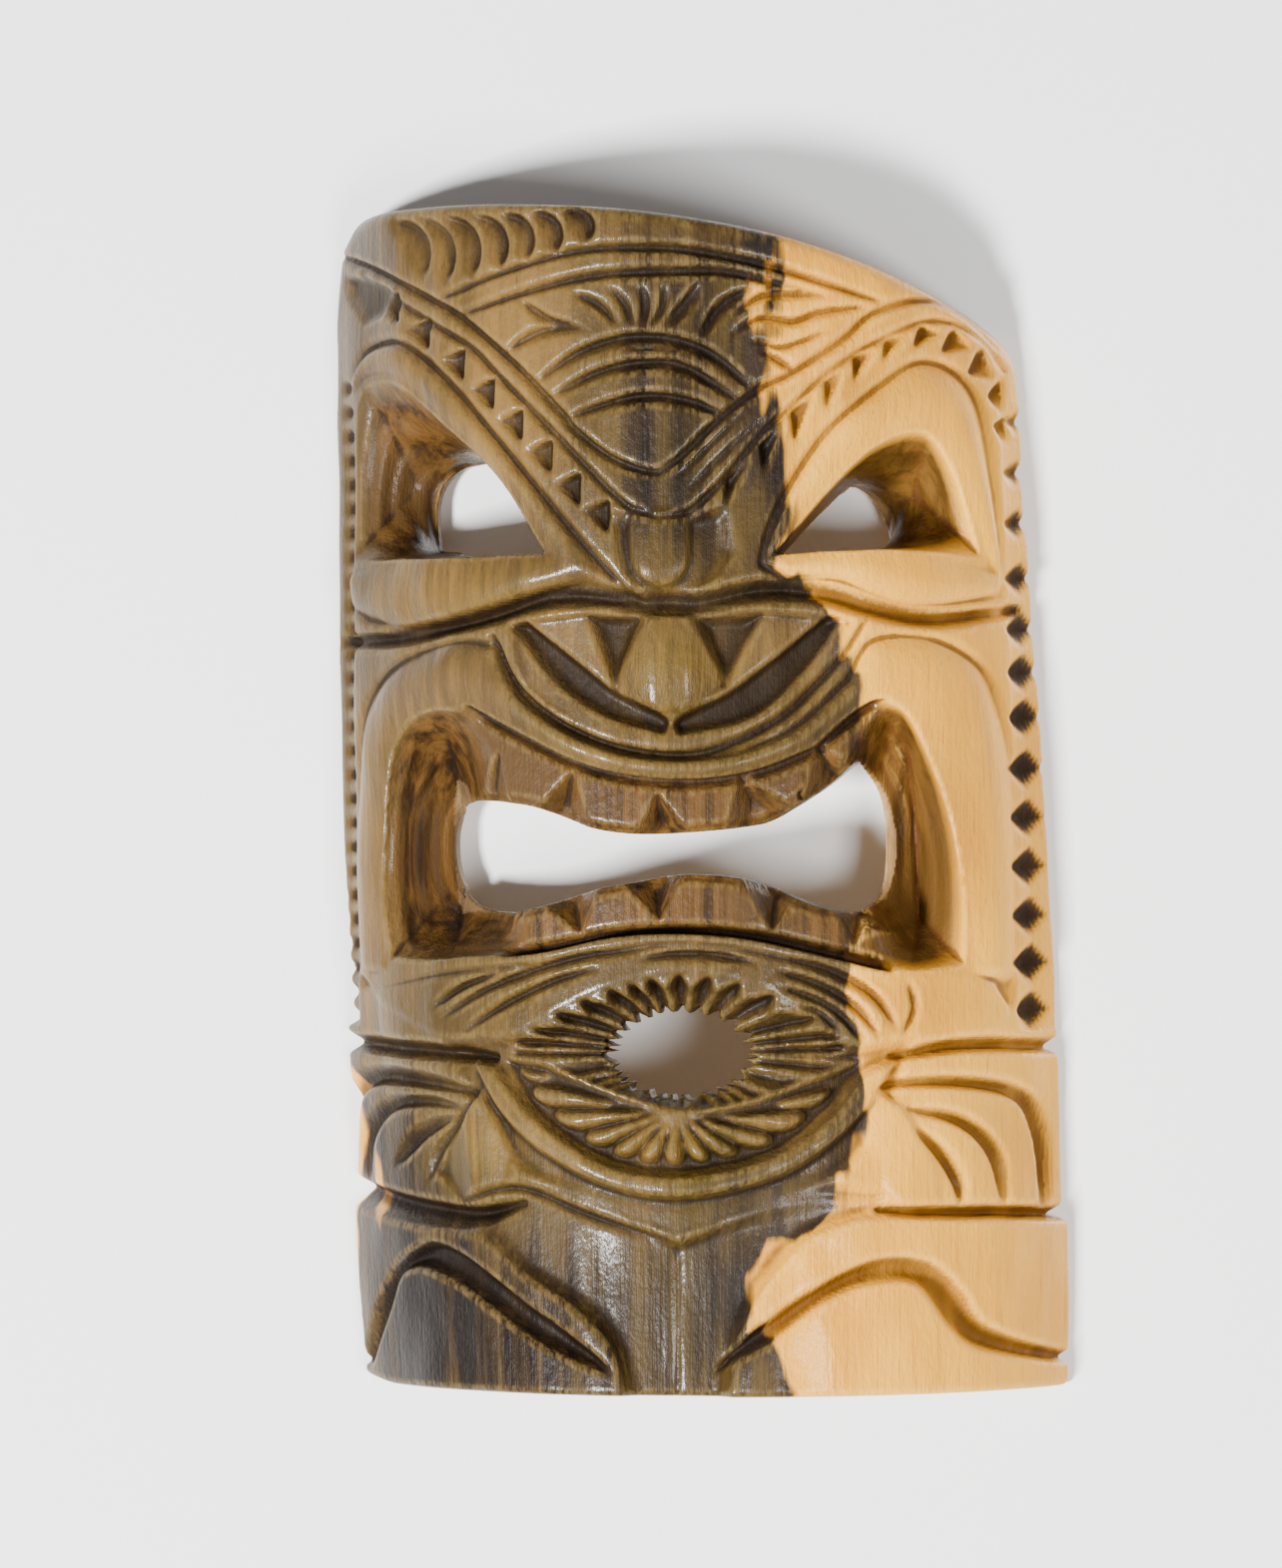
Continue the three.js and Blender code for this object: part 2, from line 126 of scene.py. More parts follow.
def nearest(path, x, z):
    """Distance to a line, how far along it the nearest point lies (0 to 1), and the side that it is on."""
    spans = np.diff(path, axis=0)
    lengths = np.maximum(np.hypot(*spans.T), 1e-6)
    starts = np.concatenate([[0], np.cumsum(lengths)])
    best = np.full(x.shape, 1e9)
    along = np.zeros(x.shape)
    side = np.zeros(x.shape)
    for (ax, az), (dx, dz), length, start in zip(path[:-1], spans, lengths, starts):
        t = np.clip(((x - ax) * dx + (z - az) * dz) / length ** 2, 0, 1)
        gap = np.hypot(x - ax - t * dx, z - az - t * dz)
        closer = gap < best
        best = np.where(closer, gap, best)
        along = np.where(closer, start + t * length, along)
        side = np.where(closer, dx * (z - az) - dz * (x - ax), side)
    return best, along / starts[-1], np.sign(side)


def signed(path, x, z):
    """Distance to a closed outline, negative inside."""
    closed = np.vstack([path, path[:1]])
    gap = nearest(closed, x, z)[0]
    inside = np.zeros(x.shape, bool)
    for (ax, az), (bx, bz) in zip(closed[:-1], closed[1:]):
        if az == bz:
            continue
        crosses = ((az > z) != (bz > z)) & (x < (bx - ax) * (z - az) / (bz - az) + ax)
        inside ^= crosses
    return np.where(inside, -gap, gap)


def ease(value, low, high):
    """0 below low, 1 above high, and smooth between."""
    t = np.clip((value - low) / (high - low), 0, 1)
    return t * t * (3 - 2 * t)


class Relief:
    """How deep the carving goes below the log's skin, on a grid over the front view."""

    def __init__(self, xs, zs, depth):
        self.xs = xs
        self.zs = zs
        self.ground = np.full((len(xs), len(zs)), float(depth))
        self.cuts = np.zeros_like(self.ground)

    def window(self, path, reach):
        """The part of the grid round a path, as slices and places."""
        low = path.min(axis=0) - reach
        high = path.max(axis=0) + reach
        part = tuple(
            slice(max(np.searchsorted(ticks, low[k]) - 1, 0), np.searchsorted(ticks, high[k]) + 1)
            for k, ticks in enumerate((self.xs, self.zs))
        )
        x, z = np.meshgrid(self.xs[part[0]], self.zs[part[1]], indexing="ij")
        return part, x, z

    def field(self, path, depth, edge):
        """Lowers or raises the ground inside an outline to one depth, with a sloping edge."""
        part, x, z = self.window(path, edge)
        inside = ease(-signed(path, x, z), -edge / 2, edge / 2)
        level = depth(x, z) if callable(depth) else depth
        self.ground[part] += (level - self.ground[part]) * inside

    def roll(self, inner, outer, crest, inner_depth, outer_depth, only=None):
        """A rounded moulding between two outlines."""
        part, x, z = self.window(outer, 1)
        a = signed(inner, x, z)
        b = -signed(outer, x, z)
        share = ease(b, 0, 1.6) * (1 if only is None else only(x, z))
        s = np.clip(a, 0, None) / np.maximum(np.clip(a, 0, None) + np.clip(b, 0, None), 1e-6)
        outer_level = outer_depth(x, z) if callable(outer_depth) else outer_depth
        low = inner_depth + (outer_level - inner_depth) * s
        bulge = np.sin(np.pi * s) ** 0.75
        self.ground[part] += (low + (crest - low) * bulge - self.ground[part]) * share

    def stroke(self, points, width, depth, taper, lean_to=0.0):
        """A gouge stroke along a line, running out at both ends. lean_to moves its bottom to one side."""
        path = curve(points)
        part, x, z = self.window(path, width)
        gap, along, side = nearest(path, x, z)
        half = (width / 2) * np.maximum(np.sin(np.pi * np.clip(along, 0.02, 0.98)), 0) ** taper
        across = gap * side / np.maximum(half, 0.05)
        shape = np.clip(np.where(across > lean_to, (1 - across) / (1 - lean_to),
                                 (1 + across) / (1 + lean_to)), 0, 1)
        cut = depth * shape * np.clip(half / (width / 2) * 1.1, 0, 1)
        self.cuts[part] = np.maximum(self.cuts[part], cut)

    def pit(self, corners, depth):
        """A chip cut out of a polygon: it slopes down from its edges to the deepest point."""
        path = np.array(corners, float)
        part, x, z = self.window(path, 1)
        gap = -signed(path, x, z)
        size = max(gap.max(), 0.3)
        centre = (path[0] + path[1:].mean(axis=0)) / 2
        pull = 1 - 0.35 * np.hypot(x - centre[0], z - centre[1]) / max(np.ptp(path, axis=0))
        cut = depth * np.clip(gap / size, 0, 1) ** 0.8 * pull
        self.cuts[part] = np.maximum(self.cuts[part], cut)

    def chip(self, top, foot, corner, depth):
        """A three-sided notch: a steep wall from top to foot, and a facet rising from it to the corner."""
        path = np.array([top, foot, corner], float)
        part, x, z = self.window(path, 1)
        inside = ease(-signed(path, x, z), -0.3, 0.9)
        wall = nearest(path[:2], x, z)[0]
        reach = nearest(path[:2], np.array([corner[0]]), np.array([corner[1]]))[0][0]
        cut = depth * inside * np.clip(1 - wall / reach, 0, 1)
        self.cuts[part] = np.maximum(self.cuts[part], cut)

    def scoop(self, path, depth, slope):
        """A gouged hollow that fills an outline, rounded at its bottom."""
        part, x, z = self.window(path, 1)
        gap = np.clip(-signed(path, x, z), 0, None)
        cut = depth * np.sin(np.clip(gap * slope / depth, 0, 1) * np.pi / 2)
        self.cuts[part] = np.maximum(self.cuts[part], cut)


# ------------------------------------------------ openings, read by both the relief and the cavities
EYE_LEFT = outline(
    (-90, 207.5), [(-90.5, 230), (-89.5, 250), (-86, 257), (-80, 258.5), (-72, 256), (-58, 243.5),
                   (-44, 230), (-32, 211.5)], [(-72, 210.5)],
)
EYE_LEFT_HOLE = outline(
    (-66, 213.5), [(-66.5, 224), (-64.5, 230.5), (-60, 234.5), (-54, 236)], [(-46, 237)], [(-24, 210)],
    [(-32, 211)],
)
EYE_RIGHT = outline(
    (25.5, 211), [(32, 219), (39, 227.5), (48.5, 238), (58, 243.5), (64.5, 242), (70, 233), (74, 221),
                  (79, 207)],
    [(65, 211), (51, 212.5), (37, 212)],
)
EYE_RIGHT_HOLE = outline(
    (22, 210), [(26, 222)], [(34, 231)], [(40, 230), (46, 226), (49, 219), (48, 211)], [(36, 211)],
)
MOUTH = outline(
    (-77.5, 106.5), [(-79.5, 124), (-79.5, 137), (-77, 160), (-72.5, 169), (-65, 173), (-52.5, 173.5)],
    [(-39, 166.5), (-23, 159), (-7.5, 155.5), (7.5, 155), (22, 157.5), (35.5, 163)],
    [(44, 171), (51, 175), (58, 172), (64, 160), (70, 142), (72.5, 125), (73.5, 106)],
    [(56, 106), (39, 110), (20, 114.5), (2.5, 116), (-15, 115), (-34, 111), (-55, 109)],
)
MOUTH_SLIT = outline(
    (-57, 148.6), [(-60.6, 144), (-61.4, 137), (-60.2, 130), (-56.5, 124.5), (-50, 121.6), (-42, 121)],
    [(-33, 123), (-20, 127), (-9.5, 129), (0, 130.7), (9, 130.7), (19, 129.4), (28.5, 125.7), (37, 122.4),
     (44.8, 121.3)], [(49.5, 126), (50.8, 138), (49.5, 150), (45, 159.5)],
    [(36, 152), (24.5, 144.7), (16.5, 142.7), (3.5, 141.4), (-9.5, 141), (-21, 142.5), (-31, 146),
     (-38, 148.2), (-51, 149.4), (-57, 148.6)],
)
LENS_CENTRE = (1.5, 86.0)
LENS = outline(
    (-47, 87), [(-36, 92.5), (-18, 101.5), (2, 106), (20, 103), (37, 95), (48, 85)],
    [(37, 79.5), (20, 73.5), (2.5, 71.5), (-18, 76.5), (-33.5, 82.5), (-47, 87)],
)
LENS_HOLE_SIZE = (18.0, 11.2)
LOWER_TEETH = 15
# Directions of the pointed flutes above the hole, right to left, as shares of a half turn.
FLUTE_TURNS = (-0.02, 0.017, 0.055, 0.124, 0.242, 0.337, 0.416, 0.493, 0.571, 0.629, 0.690, 0.776, 0.854,
               0.922, 0.968, 1.01)
CHIN_BAND = outline(
    (-53, 84), [(-44.5, 70), (-28.5, 58), (-8, 50.5), (12.5, 51), (32, 57.5), (48, 70.5), (56, 84)],
    [(49, 81), (40, 70), (26, 60.5), (8, 56), (-8, 56), (-22, 60.5), (-36, 70), (-47, 82)],
)
PETAL_FIELD = outline(
    (-45, 84), [(-36, 71), (-22, 61.5), (-8, 57), (8, 57), (26, 61.5), (39, 71), (48, 83)],
    [(37, 79.5), (20, 73.5), (2.5, 71.5), (-18, 76.5), (-33.5, 82.5)],
)


# ------------------------------------------------ relief, from the top down
GROUND_DEPTH = 1.4
LEFT_EDGE_X = -91.4
LEFT_NOTCHES = 27
LEFT_NOTCH_PITCH = 6.2
LEFT_NOTCH_FOOT_Z = 94
TOOL_WAVES = 26
TOOL_WAVE_HEIGHT = 0.035


def forehead(relief):
    # A fan of curved petals at the upper left, each with its steep side to the right.
    feet = [(-67, 282.4), (-60, 281), (-53, 282), (-45.5, 283.3), (-38.5, 285), (-31, 286.5), (-22, 289.5)]
    for k, (foot_x, foot_z) in enumerate(feet):
        top = (-75.5 + 7.8 * k, 296.6)
        middle = ((top[0] + foot_x) / 2 + 2.4, (top[1] + foot_z) / 2 + 1.4)
        relief.stroke([top, middle, (foot_x, foot_z)], 7.6, 2.8, taper=0.4, lean_to=0.55)
    # Two long arcs under them.
    relief.stroke([(-61, 276.5), (-45.5, 282.3), (-24, 287.6), (-5, 288.2), (6, 287.4), (23.5, 284),
                   (37.5, 280), (52, 275.2)], 3.0, 2.3, taper=0.2, lean_to=-0.4)
    relief.stroke([(-57, 271.8), (-37.5, 277.6), (-18, 281.5), (4, 282.3), (15, 282), (28, 279),
                   (38, 276.5)], 3.2, 2.2, taper=0.25, lean_to=-0.4)
    relief.scoop(outline((-92, 284.5), [(-84, 283.5)], [(-76, 279.5), (-79, 273), (-85, 270.5)],
                         [(-91, 278)]), 2.0, slope=0.7)
    # The V band: a smooth ribbon between two lines that meet over the nose.
    relief.stroke([(-98, 291), (-81.5, 284.3), (-63.5, 275.3), (-55.5, 270.7), (-41.5, 259.2), (-29, 247),
                   (-25, 242.4), (-16.5, 235.9), (-9, 232.6), (-3, 231.4)], 3.0, 2.6, taper=0.2,
                  lean_to=0.4)
    relief.stroke([(-3, 231.4), (4, 236.7), (13, 245.5), (22, 252.5), (30.5, 256.9), (43, 265.4),
                   (50.5, 272.4), (62, 276), (72, 273.1), (80, 264.3)], 3.0, 2.2, taper=0.2, lean_to=-0.3)
    relief.stroke([(-86, 284), (-69, 272.8), (-53.5, 264), (-45.5, 256.5), (-30, 241.5), (-24, 235.5),
                   (-12, 224), (-3.5, 220.6)], 2.8, 2.2, taper=0.2)
    relief.stroke([(-3.5, 220.6), (5, 222), (14, 230.1), (22.5, 240.8), (30, 247.6), (37.5, 255),
                   (45.5, 261.3), (53, 265.8), (62, 270.2), (69, 270.3), (76, 266.3), (81, 258.7)], 2.6,
                  1.9, taper=0.2)
    for shift in (2.6, 5.6):
        relief.stroke([(-1 + shift, 232.5 - shift), (9 + shift, 242.5 - shift), (18 + shift, 251 - shift)],
                      1.7, 1.2, taper=0.4)
    # The shield inside the V: three broad grooves with thin ribs left between them.
    for groove, width in (
        ([(-35, 254.5), (-22, 262), (-7, 265), (8.5, 261.8), (22, 251.5)], 4.4),
        ([(-30.5, 251), (-18.5, 256.4), (-7, 258.6), (4, 257.4), (19, 248.4)], 3.8),
        ([(-26, 245.6), (-14.5, 249), (-5, 250.4), (6, 248.8), (16, 244.4)], 3.4),
    ):
        relief.stroke(groove, width, 2.6, taper=0.4, lean_to=0.45)
    relief.stroke([(-12, 262.2), (-5, 262.6), (2, 261.8)], 1.8, 1.2, taper=0.5)
    # Rays over the shield, and leaves either side of it.
    for top_x, foot_x, width in ((-25, -13, 3.0), (-15.5, -9.5, 2.6), (-7.5, -7, 3.4), (-1, -4.5, 2.4),
                                 (7.5, -1, 4.4)):
        relief.stroke([(top_x, 279.5 - 0.004 * top_x ** 2), ((top_x + foot_x) / 2 + 1.2, 273.5),
                       (foot_x, 268)], width, 1.9, taper=0.6, lean_to=-0.4)
    for leaf, width in (
        ([(-40, 275.8), (-32, 270), (-23, 268)], 3.4),
        ([(-44, 262), (-34, 266.8), (-22, 268)], 4.2),
        ([(8, 265.5), (13.5, 273), (21.5, 278)], 4.6),
        ([(15, 266), (23, 270.2), (31, 269.4), (38, 271.9), (50.5, 274)], 3.4),
        ([(16, 271), (24, 275.8), (38, 276)], 3.6),
        ([(22, 262.7), (30, 257.6), (29, 254.6)], 2.8),
        ([(20, 265), (27, 263), (33, 264.5), (40, 268)], 2.2),
    ):
        relief.stroke(leaf, width, 2.3, taper=0.6, lean_to=0.3)
    # Dog-tooth chips under both arms of the V.
    for x, z in ((-74, 279), (-65, 272), (-54.8, 263.7), (-46.4, 256.1), (-38.6, 248.1), (-30.6, 240.2),
                 (-23, 231.8), (-15.5, 225)):
        relief.chip((x, z), (x - 0.4, z - 8.6), (x - 7.6, z - 2.6), 3.6)
    right = [(14, 230, 14, 223.5), (22.5, 238.4, 23.5, 231.5), (30, 246.8, 31.3, 239),
             (38.4, 254.6, 39, 247.4), (45.5, 260.8, 45.6, 254.6), (53, 265.2, 52.5, 260),
             (61.5, 269.4, 59.7, 263.5), (69, 269.2, 66.3, 262.6), (75.6, 265.2, 72.6, 257.6),
             (80.4, 257.4, 77.2, 252.4), (82, 248, 78.6, 245)]
    for (x, z, foot_x, foot_z), (next_x, next_z, *_) in zip(right, right[1:] + [(83, 240)]):
        relief.chip((x, z), (foot_x, foot_z), (next_x - 1.4, next_z - 1.6), 3.4)
    # Between the brows: a sunk diamond with the raised tongue of the V hanging in it.
    relief.field(outline((-15, 221), [(-10, 219.5)], [(6, 220.5)], [(13, 221.5)], [(15, 212)],
                         [(9, 203.5), (-2, 199.5), (-11, 206.5)]), 3.4, edge=5.0)
    relief.field(outline((-11.5, 222), [(-11, 214), (-9.5, 207.5), (-6.5, 204.4), (-2.6, 203.2),
                                        (1.6, 204.4), (4.4, 208), (5.2, 214), (5.2, 222)]),
                 lambda x, z: 0.5 + 0.030 * (x + 3) ** 2 + 0.03 * np.clip(209 - z, 0, 9) ** 2, edge=1.2)


def eyes(relief):
    left_rim = outline(
        (-90, 199), [(-91.5, 212)], [(-92, 240), (-90, 255), (-85.5, 263.5), (-79.5, 266.5), (-72, 265.5),
                                   (-60.5, 257), (-49.5, 245.5), (-36, 230), (-23, 215), (-8, 199.5)],
        [(-18, 202.5), (-28, 202.5), (-52, 194.5), (-72, 192.5), (-84, 195)],
    )
    right_rim = outline(
        (23, 208.5), [(24.5, 216), (29.5, 228), (39, 242.5), (51, 253.5), (61, 260.5), (69.5, 258.5),
                      (75.5, 250), (79, 231), (81.2, 211), (81.5, 201)],
        [(70, 198.5), (60.5, 198), (51, 200.5), (41.5, 204), (29.5, 204.5)],
    )

    def rim_foot(x, z):
        return 3.7 - 2.1 * ease(-x, 82, 91)

    for opening, rim in ((EYE_LEFT, left_rim), (EYE_RIGHT, right_rim)):
        relief.field(rim, rim_foot, edge=3.0)
        relief.roll(opening, rim, 0.2, 1.6, rim_foot)
    # The valley under both lower lids.
    relief.stroke([(-92, 190), (-72, 191), (-50, 195.5), (-28, 200.5), (-8, 199), (8, 199), (24, 202),
                   (39, 201), (51, 197.5), (65, 195), (84, 197.5)], 7.0, 4.2, taper=0.12)


def nose(relief):
    area = outline((-43, 194), [(-8, 198)], [(8, 198)], [(46, 195)],
                   [(40, 183), (28, 170.5), (9.5, 163), (-7, 163), (-24, 168), (-38, 178)])
    relief.field(area, 2.6, edge=1.5)
    nostrils = outline((-5.5, 196), [(5, 196)], [(14.5, 178)], [(4, 172)], [(-4.5, 172)], [(-15.5, 177.3)])

    def facets(x, z):
        flank = np.clip(np.abs(x + 0.3) - 4.5 - 0.05 * (z - 184), 0, None)
        return 0.2 + 0.34 * flank + 0.010 * (z - 184) ** 2

    relief.field(nostrils, facets, edge=1.0)
    relief.scoop(outline((-22.5, 196.5), [(-6.5, 196)], [(-14.6, 176.8)]), 3.4, slope=1.0)
    relief.scoop(outline((5.8, 196), [(24.5, 196.5)], [(14.2, 176.8)]), 3.4, slope=1.0)
    # The moustache: a broad crescent either side and one thin groove round both.
    relief.scoop(outline((-42.5, 193.5), [(-38, 187), (-29, 177.6), (-17, 170.2), (-1, 165.6)],
                         [(-1, 170.6), (-14.4, 177.2), (-24, 184.2), (-38.5, 195)]), 3.4, slope=1.7)
    relief.scoop(outline((43.5, 195), [(35.4, 182.5), (21.3, 170), (2, 165.6)],
                         [(1, 170), (15, 177), (28, 186.6), (40, 196.6)]), 3.4, slope=1.7)
    relief.stroke([(-47, 190.8), (-39.5, 176.4), (-24.3, 166.6), (-7, 161.8), (9.6, 162), (28.3, 170.2),
                   (42.3, 184.7), (49, 195.5)], 3.6, 2.9, taper=0.2, lean_to=-0.2)


def mouth_frame(relief):
    frame_edge = outline(
        (-86, 102), [(-88.5, 109), (-89, 137), (-87, 165), (-82, 178), (-72.5, 185.5), (-58, 190),
                     (-46, 189)],
        [(-41.5, 180), (-28, 168.8), (-12.5, 162.5), (2.5, 160.8), (17, 162.3), (32, 168.8), (44, 180)],
        [(50, 190), (64, 191), (75.5, 184.5), (80.5, 175), (84, 160), (85.3, 137), (85.3, 109), (83, 96),
         (76, 90)],
        [(62, 88)], [(56, 92)], [(58, 101)], [(40, 108)], [(2, 112)], [(-34, 108)], [(-60, 98)],
    )
    relief.field(frame_edge, 3.2, edge=3.0)
    relief.roll(MOUTH, frame_edge, 0.0, 1.2, 3.2, only=lambda x, z: ease(z, 102, 107))
    lip = outline(
        (-88, 106), [(-77, 106.5), (-55, 109), (-34, 111.3), (-15, 115), (2.5, 116.3), (20, 114.8),
                     (39, 110.2), (56, 106), (73, 106)], [(80, 103)], [(83, 95), (76, 89.5), (58, 88)],
        [(48, 86)], [(37, 95.5), (20, 103.5), (2, 106.5), (-18, 102), (-36, 93), (-47, 87)], [(-64, 90)],
        [(-80, 98)],
    )
    relief.field(lip, 1.0, edge=1.2)
    # Lower lip: an edge line, long leaves on the left, curved fingers on the right.
    relief.stroke([(-82, 101), (-60, 105.5), (-34, 108.3), (-12, 112), (2.5, 113.3), (18, 112), (36, 108),
                   (54, 103)], 2.2, 1.2, taper=0.3)
    for points, width in (
        ([(-62, 93.5), (-52, 100), (-38, 105.5), (-22, 110), (-6, 112)], 3.6),
        ([(-55, 91), (-44, 97.5), (-31, 103.5), (-18, 107.5)], 3.2),
        ([(-64, 96.5), (-56, 102), (-44, 106)], 2.6),
        ([(-8, 109.6), (1, 110.6), (12, 110.3), (22, 108.6)], 3.4),
        ([(28, 110), (40, 106.3), (50, 100.5), (56.5, 92)], 4.2),
        ([(27, 106.5), (37, 103), (46, 97.5), (52, 90)], 3.8),
        ([(28, 102.5), (36, 99.5), (43, 95), (48.5, 88.5)], 3.4),
        ([(33, 98), (38, 95.5), (43, 91)], 2.8),
    ):
        relief.stroke(points, width, 2.6, taper=0.5, lean_to=0.4)
    relief.stroke([(59, 104), (60.5, 97), (58, 90)], 2.4, 2.0, taper=0.4)


def petals(relief):
    """The fan of petals in the chin, spreading from one point under the lower mouth."""
    part, x, z = relief.window(PETAL_FIELD, 1)
    rim = -signed(PETAL_FIELD, x, z)
    inside = ease(rim, -0.4, 0.8)
    turn = np.arctan2((z - 71.5) * 1.5 - 1.0, x - 1.0) / math.pi
    step = np.where(turn < 0, (turn + 1) * 9, np.where(x < 1, -(z - 71.5) * 0.15, 9 + (z - 71.5) * 0.15))
    ridge = 1 - 2 * np.abs(step % 1 - 0.5)
    near = np.hypot(x - 1, (z - 71.5) * 1.5)
    end = ease(rim - 2.6 * (1 - ridge) ** 2, 1.4, 3.2)
    leaf = np.sqrt(np.clip(ridge * 1.5, 0, 1))
    level = 4.8 - 3.6 * leaf * end * ease(near, 2, 14) - 1.8 * (1 - ease(near, 2, 11))
    relief.ground[part] += (level - relief.ground[part]) * inside


def chin(relief):
    relief.field(outline((-60, 88), [(-48, 89)], [(48, 87)], [(60, 89)],
                         [(52, 66), (34, 52), (2, 45), (-32, 53), (-50, 66)]), 3.4, edge=4.0)
    relief.field(CHIN_BAND, 0.2, edge=2.4)
    petals(relief)


def hands(relief):
    # Side grooves above and below the hands, as points, width, depth, taper and lean.
    for groove in (
        ([(-110, 88), (-95, 87.5), (-79, 86.3), (-64, 85.6), (-48, 84.5)], 6.0, 4.4, 0.22),
        ([(110, 86.5), (94, 87), (79.5, 88), (68, 87.5), (56, 85)], 5.0, 4.2, 0.22, 0.4),
        ([(-110, 52), (-95, 50.5), (-81.5, 47.2), (-68, 45), (-52, 44.2), (-40, 47.5)], 7.4, 4.8, 0.3, 0.3),
        ([(-57, 47.5), (-45, 51.4), (-36.5, 50.6), (-23.5, 45.8), (-11, 42), (1.5, 38.4)], 3.2, 2.0, 0.4),
        ([(110, 43.5), (94, 44.4), (80, 45.6), (66, 46), (52, 46.8)], 4.2, 4.6, 0.25, 0.5),
    ):
        relief.stroke(*groove)
    # Left hand: gouges round the fingers, as above, and a thumb cut to flat facets.
    for gouge in (
        ([(-91.5, 50), (-91.5, 67), (-88.5, 76), (-81, 79.4), (-67.5, 78.3), (-58, 77), (-50.5, 74.6)],
         6.6, 3.8, 0.5, -0.35),
        ([(-85.5, 51), (-85, 63), (-78.6, 71.5), (-67.5, 73.3), (-55, 71.6)], 5.2, 3.2, 0.5, -0.3),
        ([(-76, 56), (-68, 65.4), (-57.5, 70)], 5.4, 3.0, 0.6, -0.3),
        ([(-66, 52), (-62, 62), (-52.5, 74)], 4.2, 2.2, 0.5),
    ):
        relief.stroke(*gouge)
    thumb = outline((-50.5, 76.5), [(-59.6, 63)], [(-63, 55.4)], [(-55.2, 48)], [(-43.6, 54.8)],
                    [(-42.6, 60.5)])

    def thumb_facets(x, z):
        return 0.2 + np.maximum((x + 51.5) * 0.20, -(x + 53.5) * 0.34 + (62 - z) * 0.05)

    relief.field(thumb, lambda x, z: np.clip(thumb_facets(x, z), 0, 4), edge=1.6)
    # Right hand: curved gouges with their steep walls inside, as above, and the heel of the hand.
    for gouge in (
        ([(52.6, 77.6), (62, 79), (77.5, 78), (86.5, 74.4), (90.4, 65.6), (91.6, 55.7), (91.6, 44)],
         4.6, 3.8, 0.3, -0.55),
        ([(59.5, 72), (69.5, 70), (76.5, 65.6), (81, 58), (82.6, 46.4)], 4.6, 3.6, 0.4, -0.55),
        ([(60.5, 67.4), (67.3, 61), (71.6, 53.4), (72.4, 46.4)], 4.2, 3.2, 0.45, -0.55),
    ):
        relief.stroke(*gouge)
    heel = outline((51.5, 77), [(48.6, 67), (51.8, 55), (57, 46.8)], [(67, 47)],
                   [(66, 56), (62, 65), (57.5, 72)])
    relief.field(heel, lambda x, z: 0.2 + 0.10 * np.abs(x - 59.5) + 0.10 * np.clip(56 - x, 0, 8), edge=2.0)


def belly(relief):
    """The hollow between the thighs, with a crease down its middle and two flat slopes beside it."""
    area = outline(
        (-56, 43.5), [(-52, 43), (-46, 39.6), (-38.5, 31.5), (-29, 25.7), (-21.5, 20.5), (-15, 13.5),
                      (-12, 6), (-10.5, -4)], [(13, -4)],
        [(16, 14), (22.5, 27.5), (33.5, 40), (47, 45.6)], [(52, 48)], [(30, 49), (1.5, 38.6)],
        [(-30, 49), (-44, 51)],
    )

    def slopes(x, z):
        return 5.2 - 0.050 * np.abs(x - 1) + 0.012 * np.clip(40 - z, 0, 40)

    relief.field(area, slopes, edge=4.4)
    relief.stroke([(1, 42), (1.2, 20), (1, -3)], 2.2, 0.8, taper=0.2)
    relief.field(outline((-44, 52), [(-22, 46), (1.5, 39)], [(24, 45), (52, 50)],
                         [(34, 53.5), (2, 48), (-28, 53)]), 3.0, edge=5.0)


def thighs(relief):
    left = outline((-100, 45), [(-92, 45.5), (-73.5, 42), (-58.5, 40.5), (-50, 40)],
                   [(-38.5, 30.6), (-29, 24.8), (-21.5, 19.4), (-15.5, 12.6), (-12.8, 5), (-11.4, -4)],
                   [(-100, -4)])
    relief.field(left, 0.3, edge=2.5)
    relief.scoop(outline(
        (-87.5, 4), [(-82.6, 19.2), (-76, 30.4), (-68, 36.4), (-62, 37.4), (-52, 33), (-40, 24.6),
                     (-28, 16.8), (-19.4, 10.8), (-14.5, 5.4)],
        [(-23, 7.6), (-36.5, 14), (-52.3, 24.4), (-62, 29), (-68, 30.4), (-73.5, 28.3), (-77.2, 19.7),
         (-84, 4)],
    ), 4.2, slope=1.6)
    right = outline((14.5, -4), [(17.5, 14), (23.6, 27), (34.5, 39.4), (47, 44.6)], [(68, 44.3), (100, 42)],
                    [(100, -4)])
    relief.field(right, 0.0, edge=2.6)
    relief.scoop(outline(
        (11.2, 5.8), [(23.5, 19.2), (39, 29.6), (52, 35), (64, 33.7), (72.2, 25.9), (78, 17), (98, 8)],
        [(98, 4.6)], [(76, 10.2), (68, 16.6), (60.6, 27), (50.6, 27.6), (38.8, 23), (26, 13.4)],
    ), 3.6, slope=1.1)
    relief.stroke([(63, 31), (70, 21.5), (77, 13), (96, 6)], 3.6, 4.4, taper=0.4)
    relief.stroke([(11.5, 6), (22, 15.6), (34, 23.5)], 3.6, 4.2, taper=0.5)


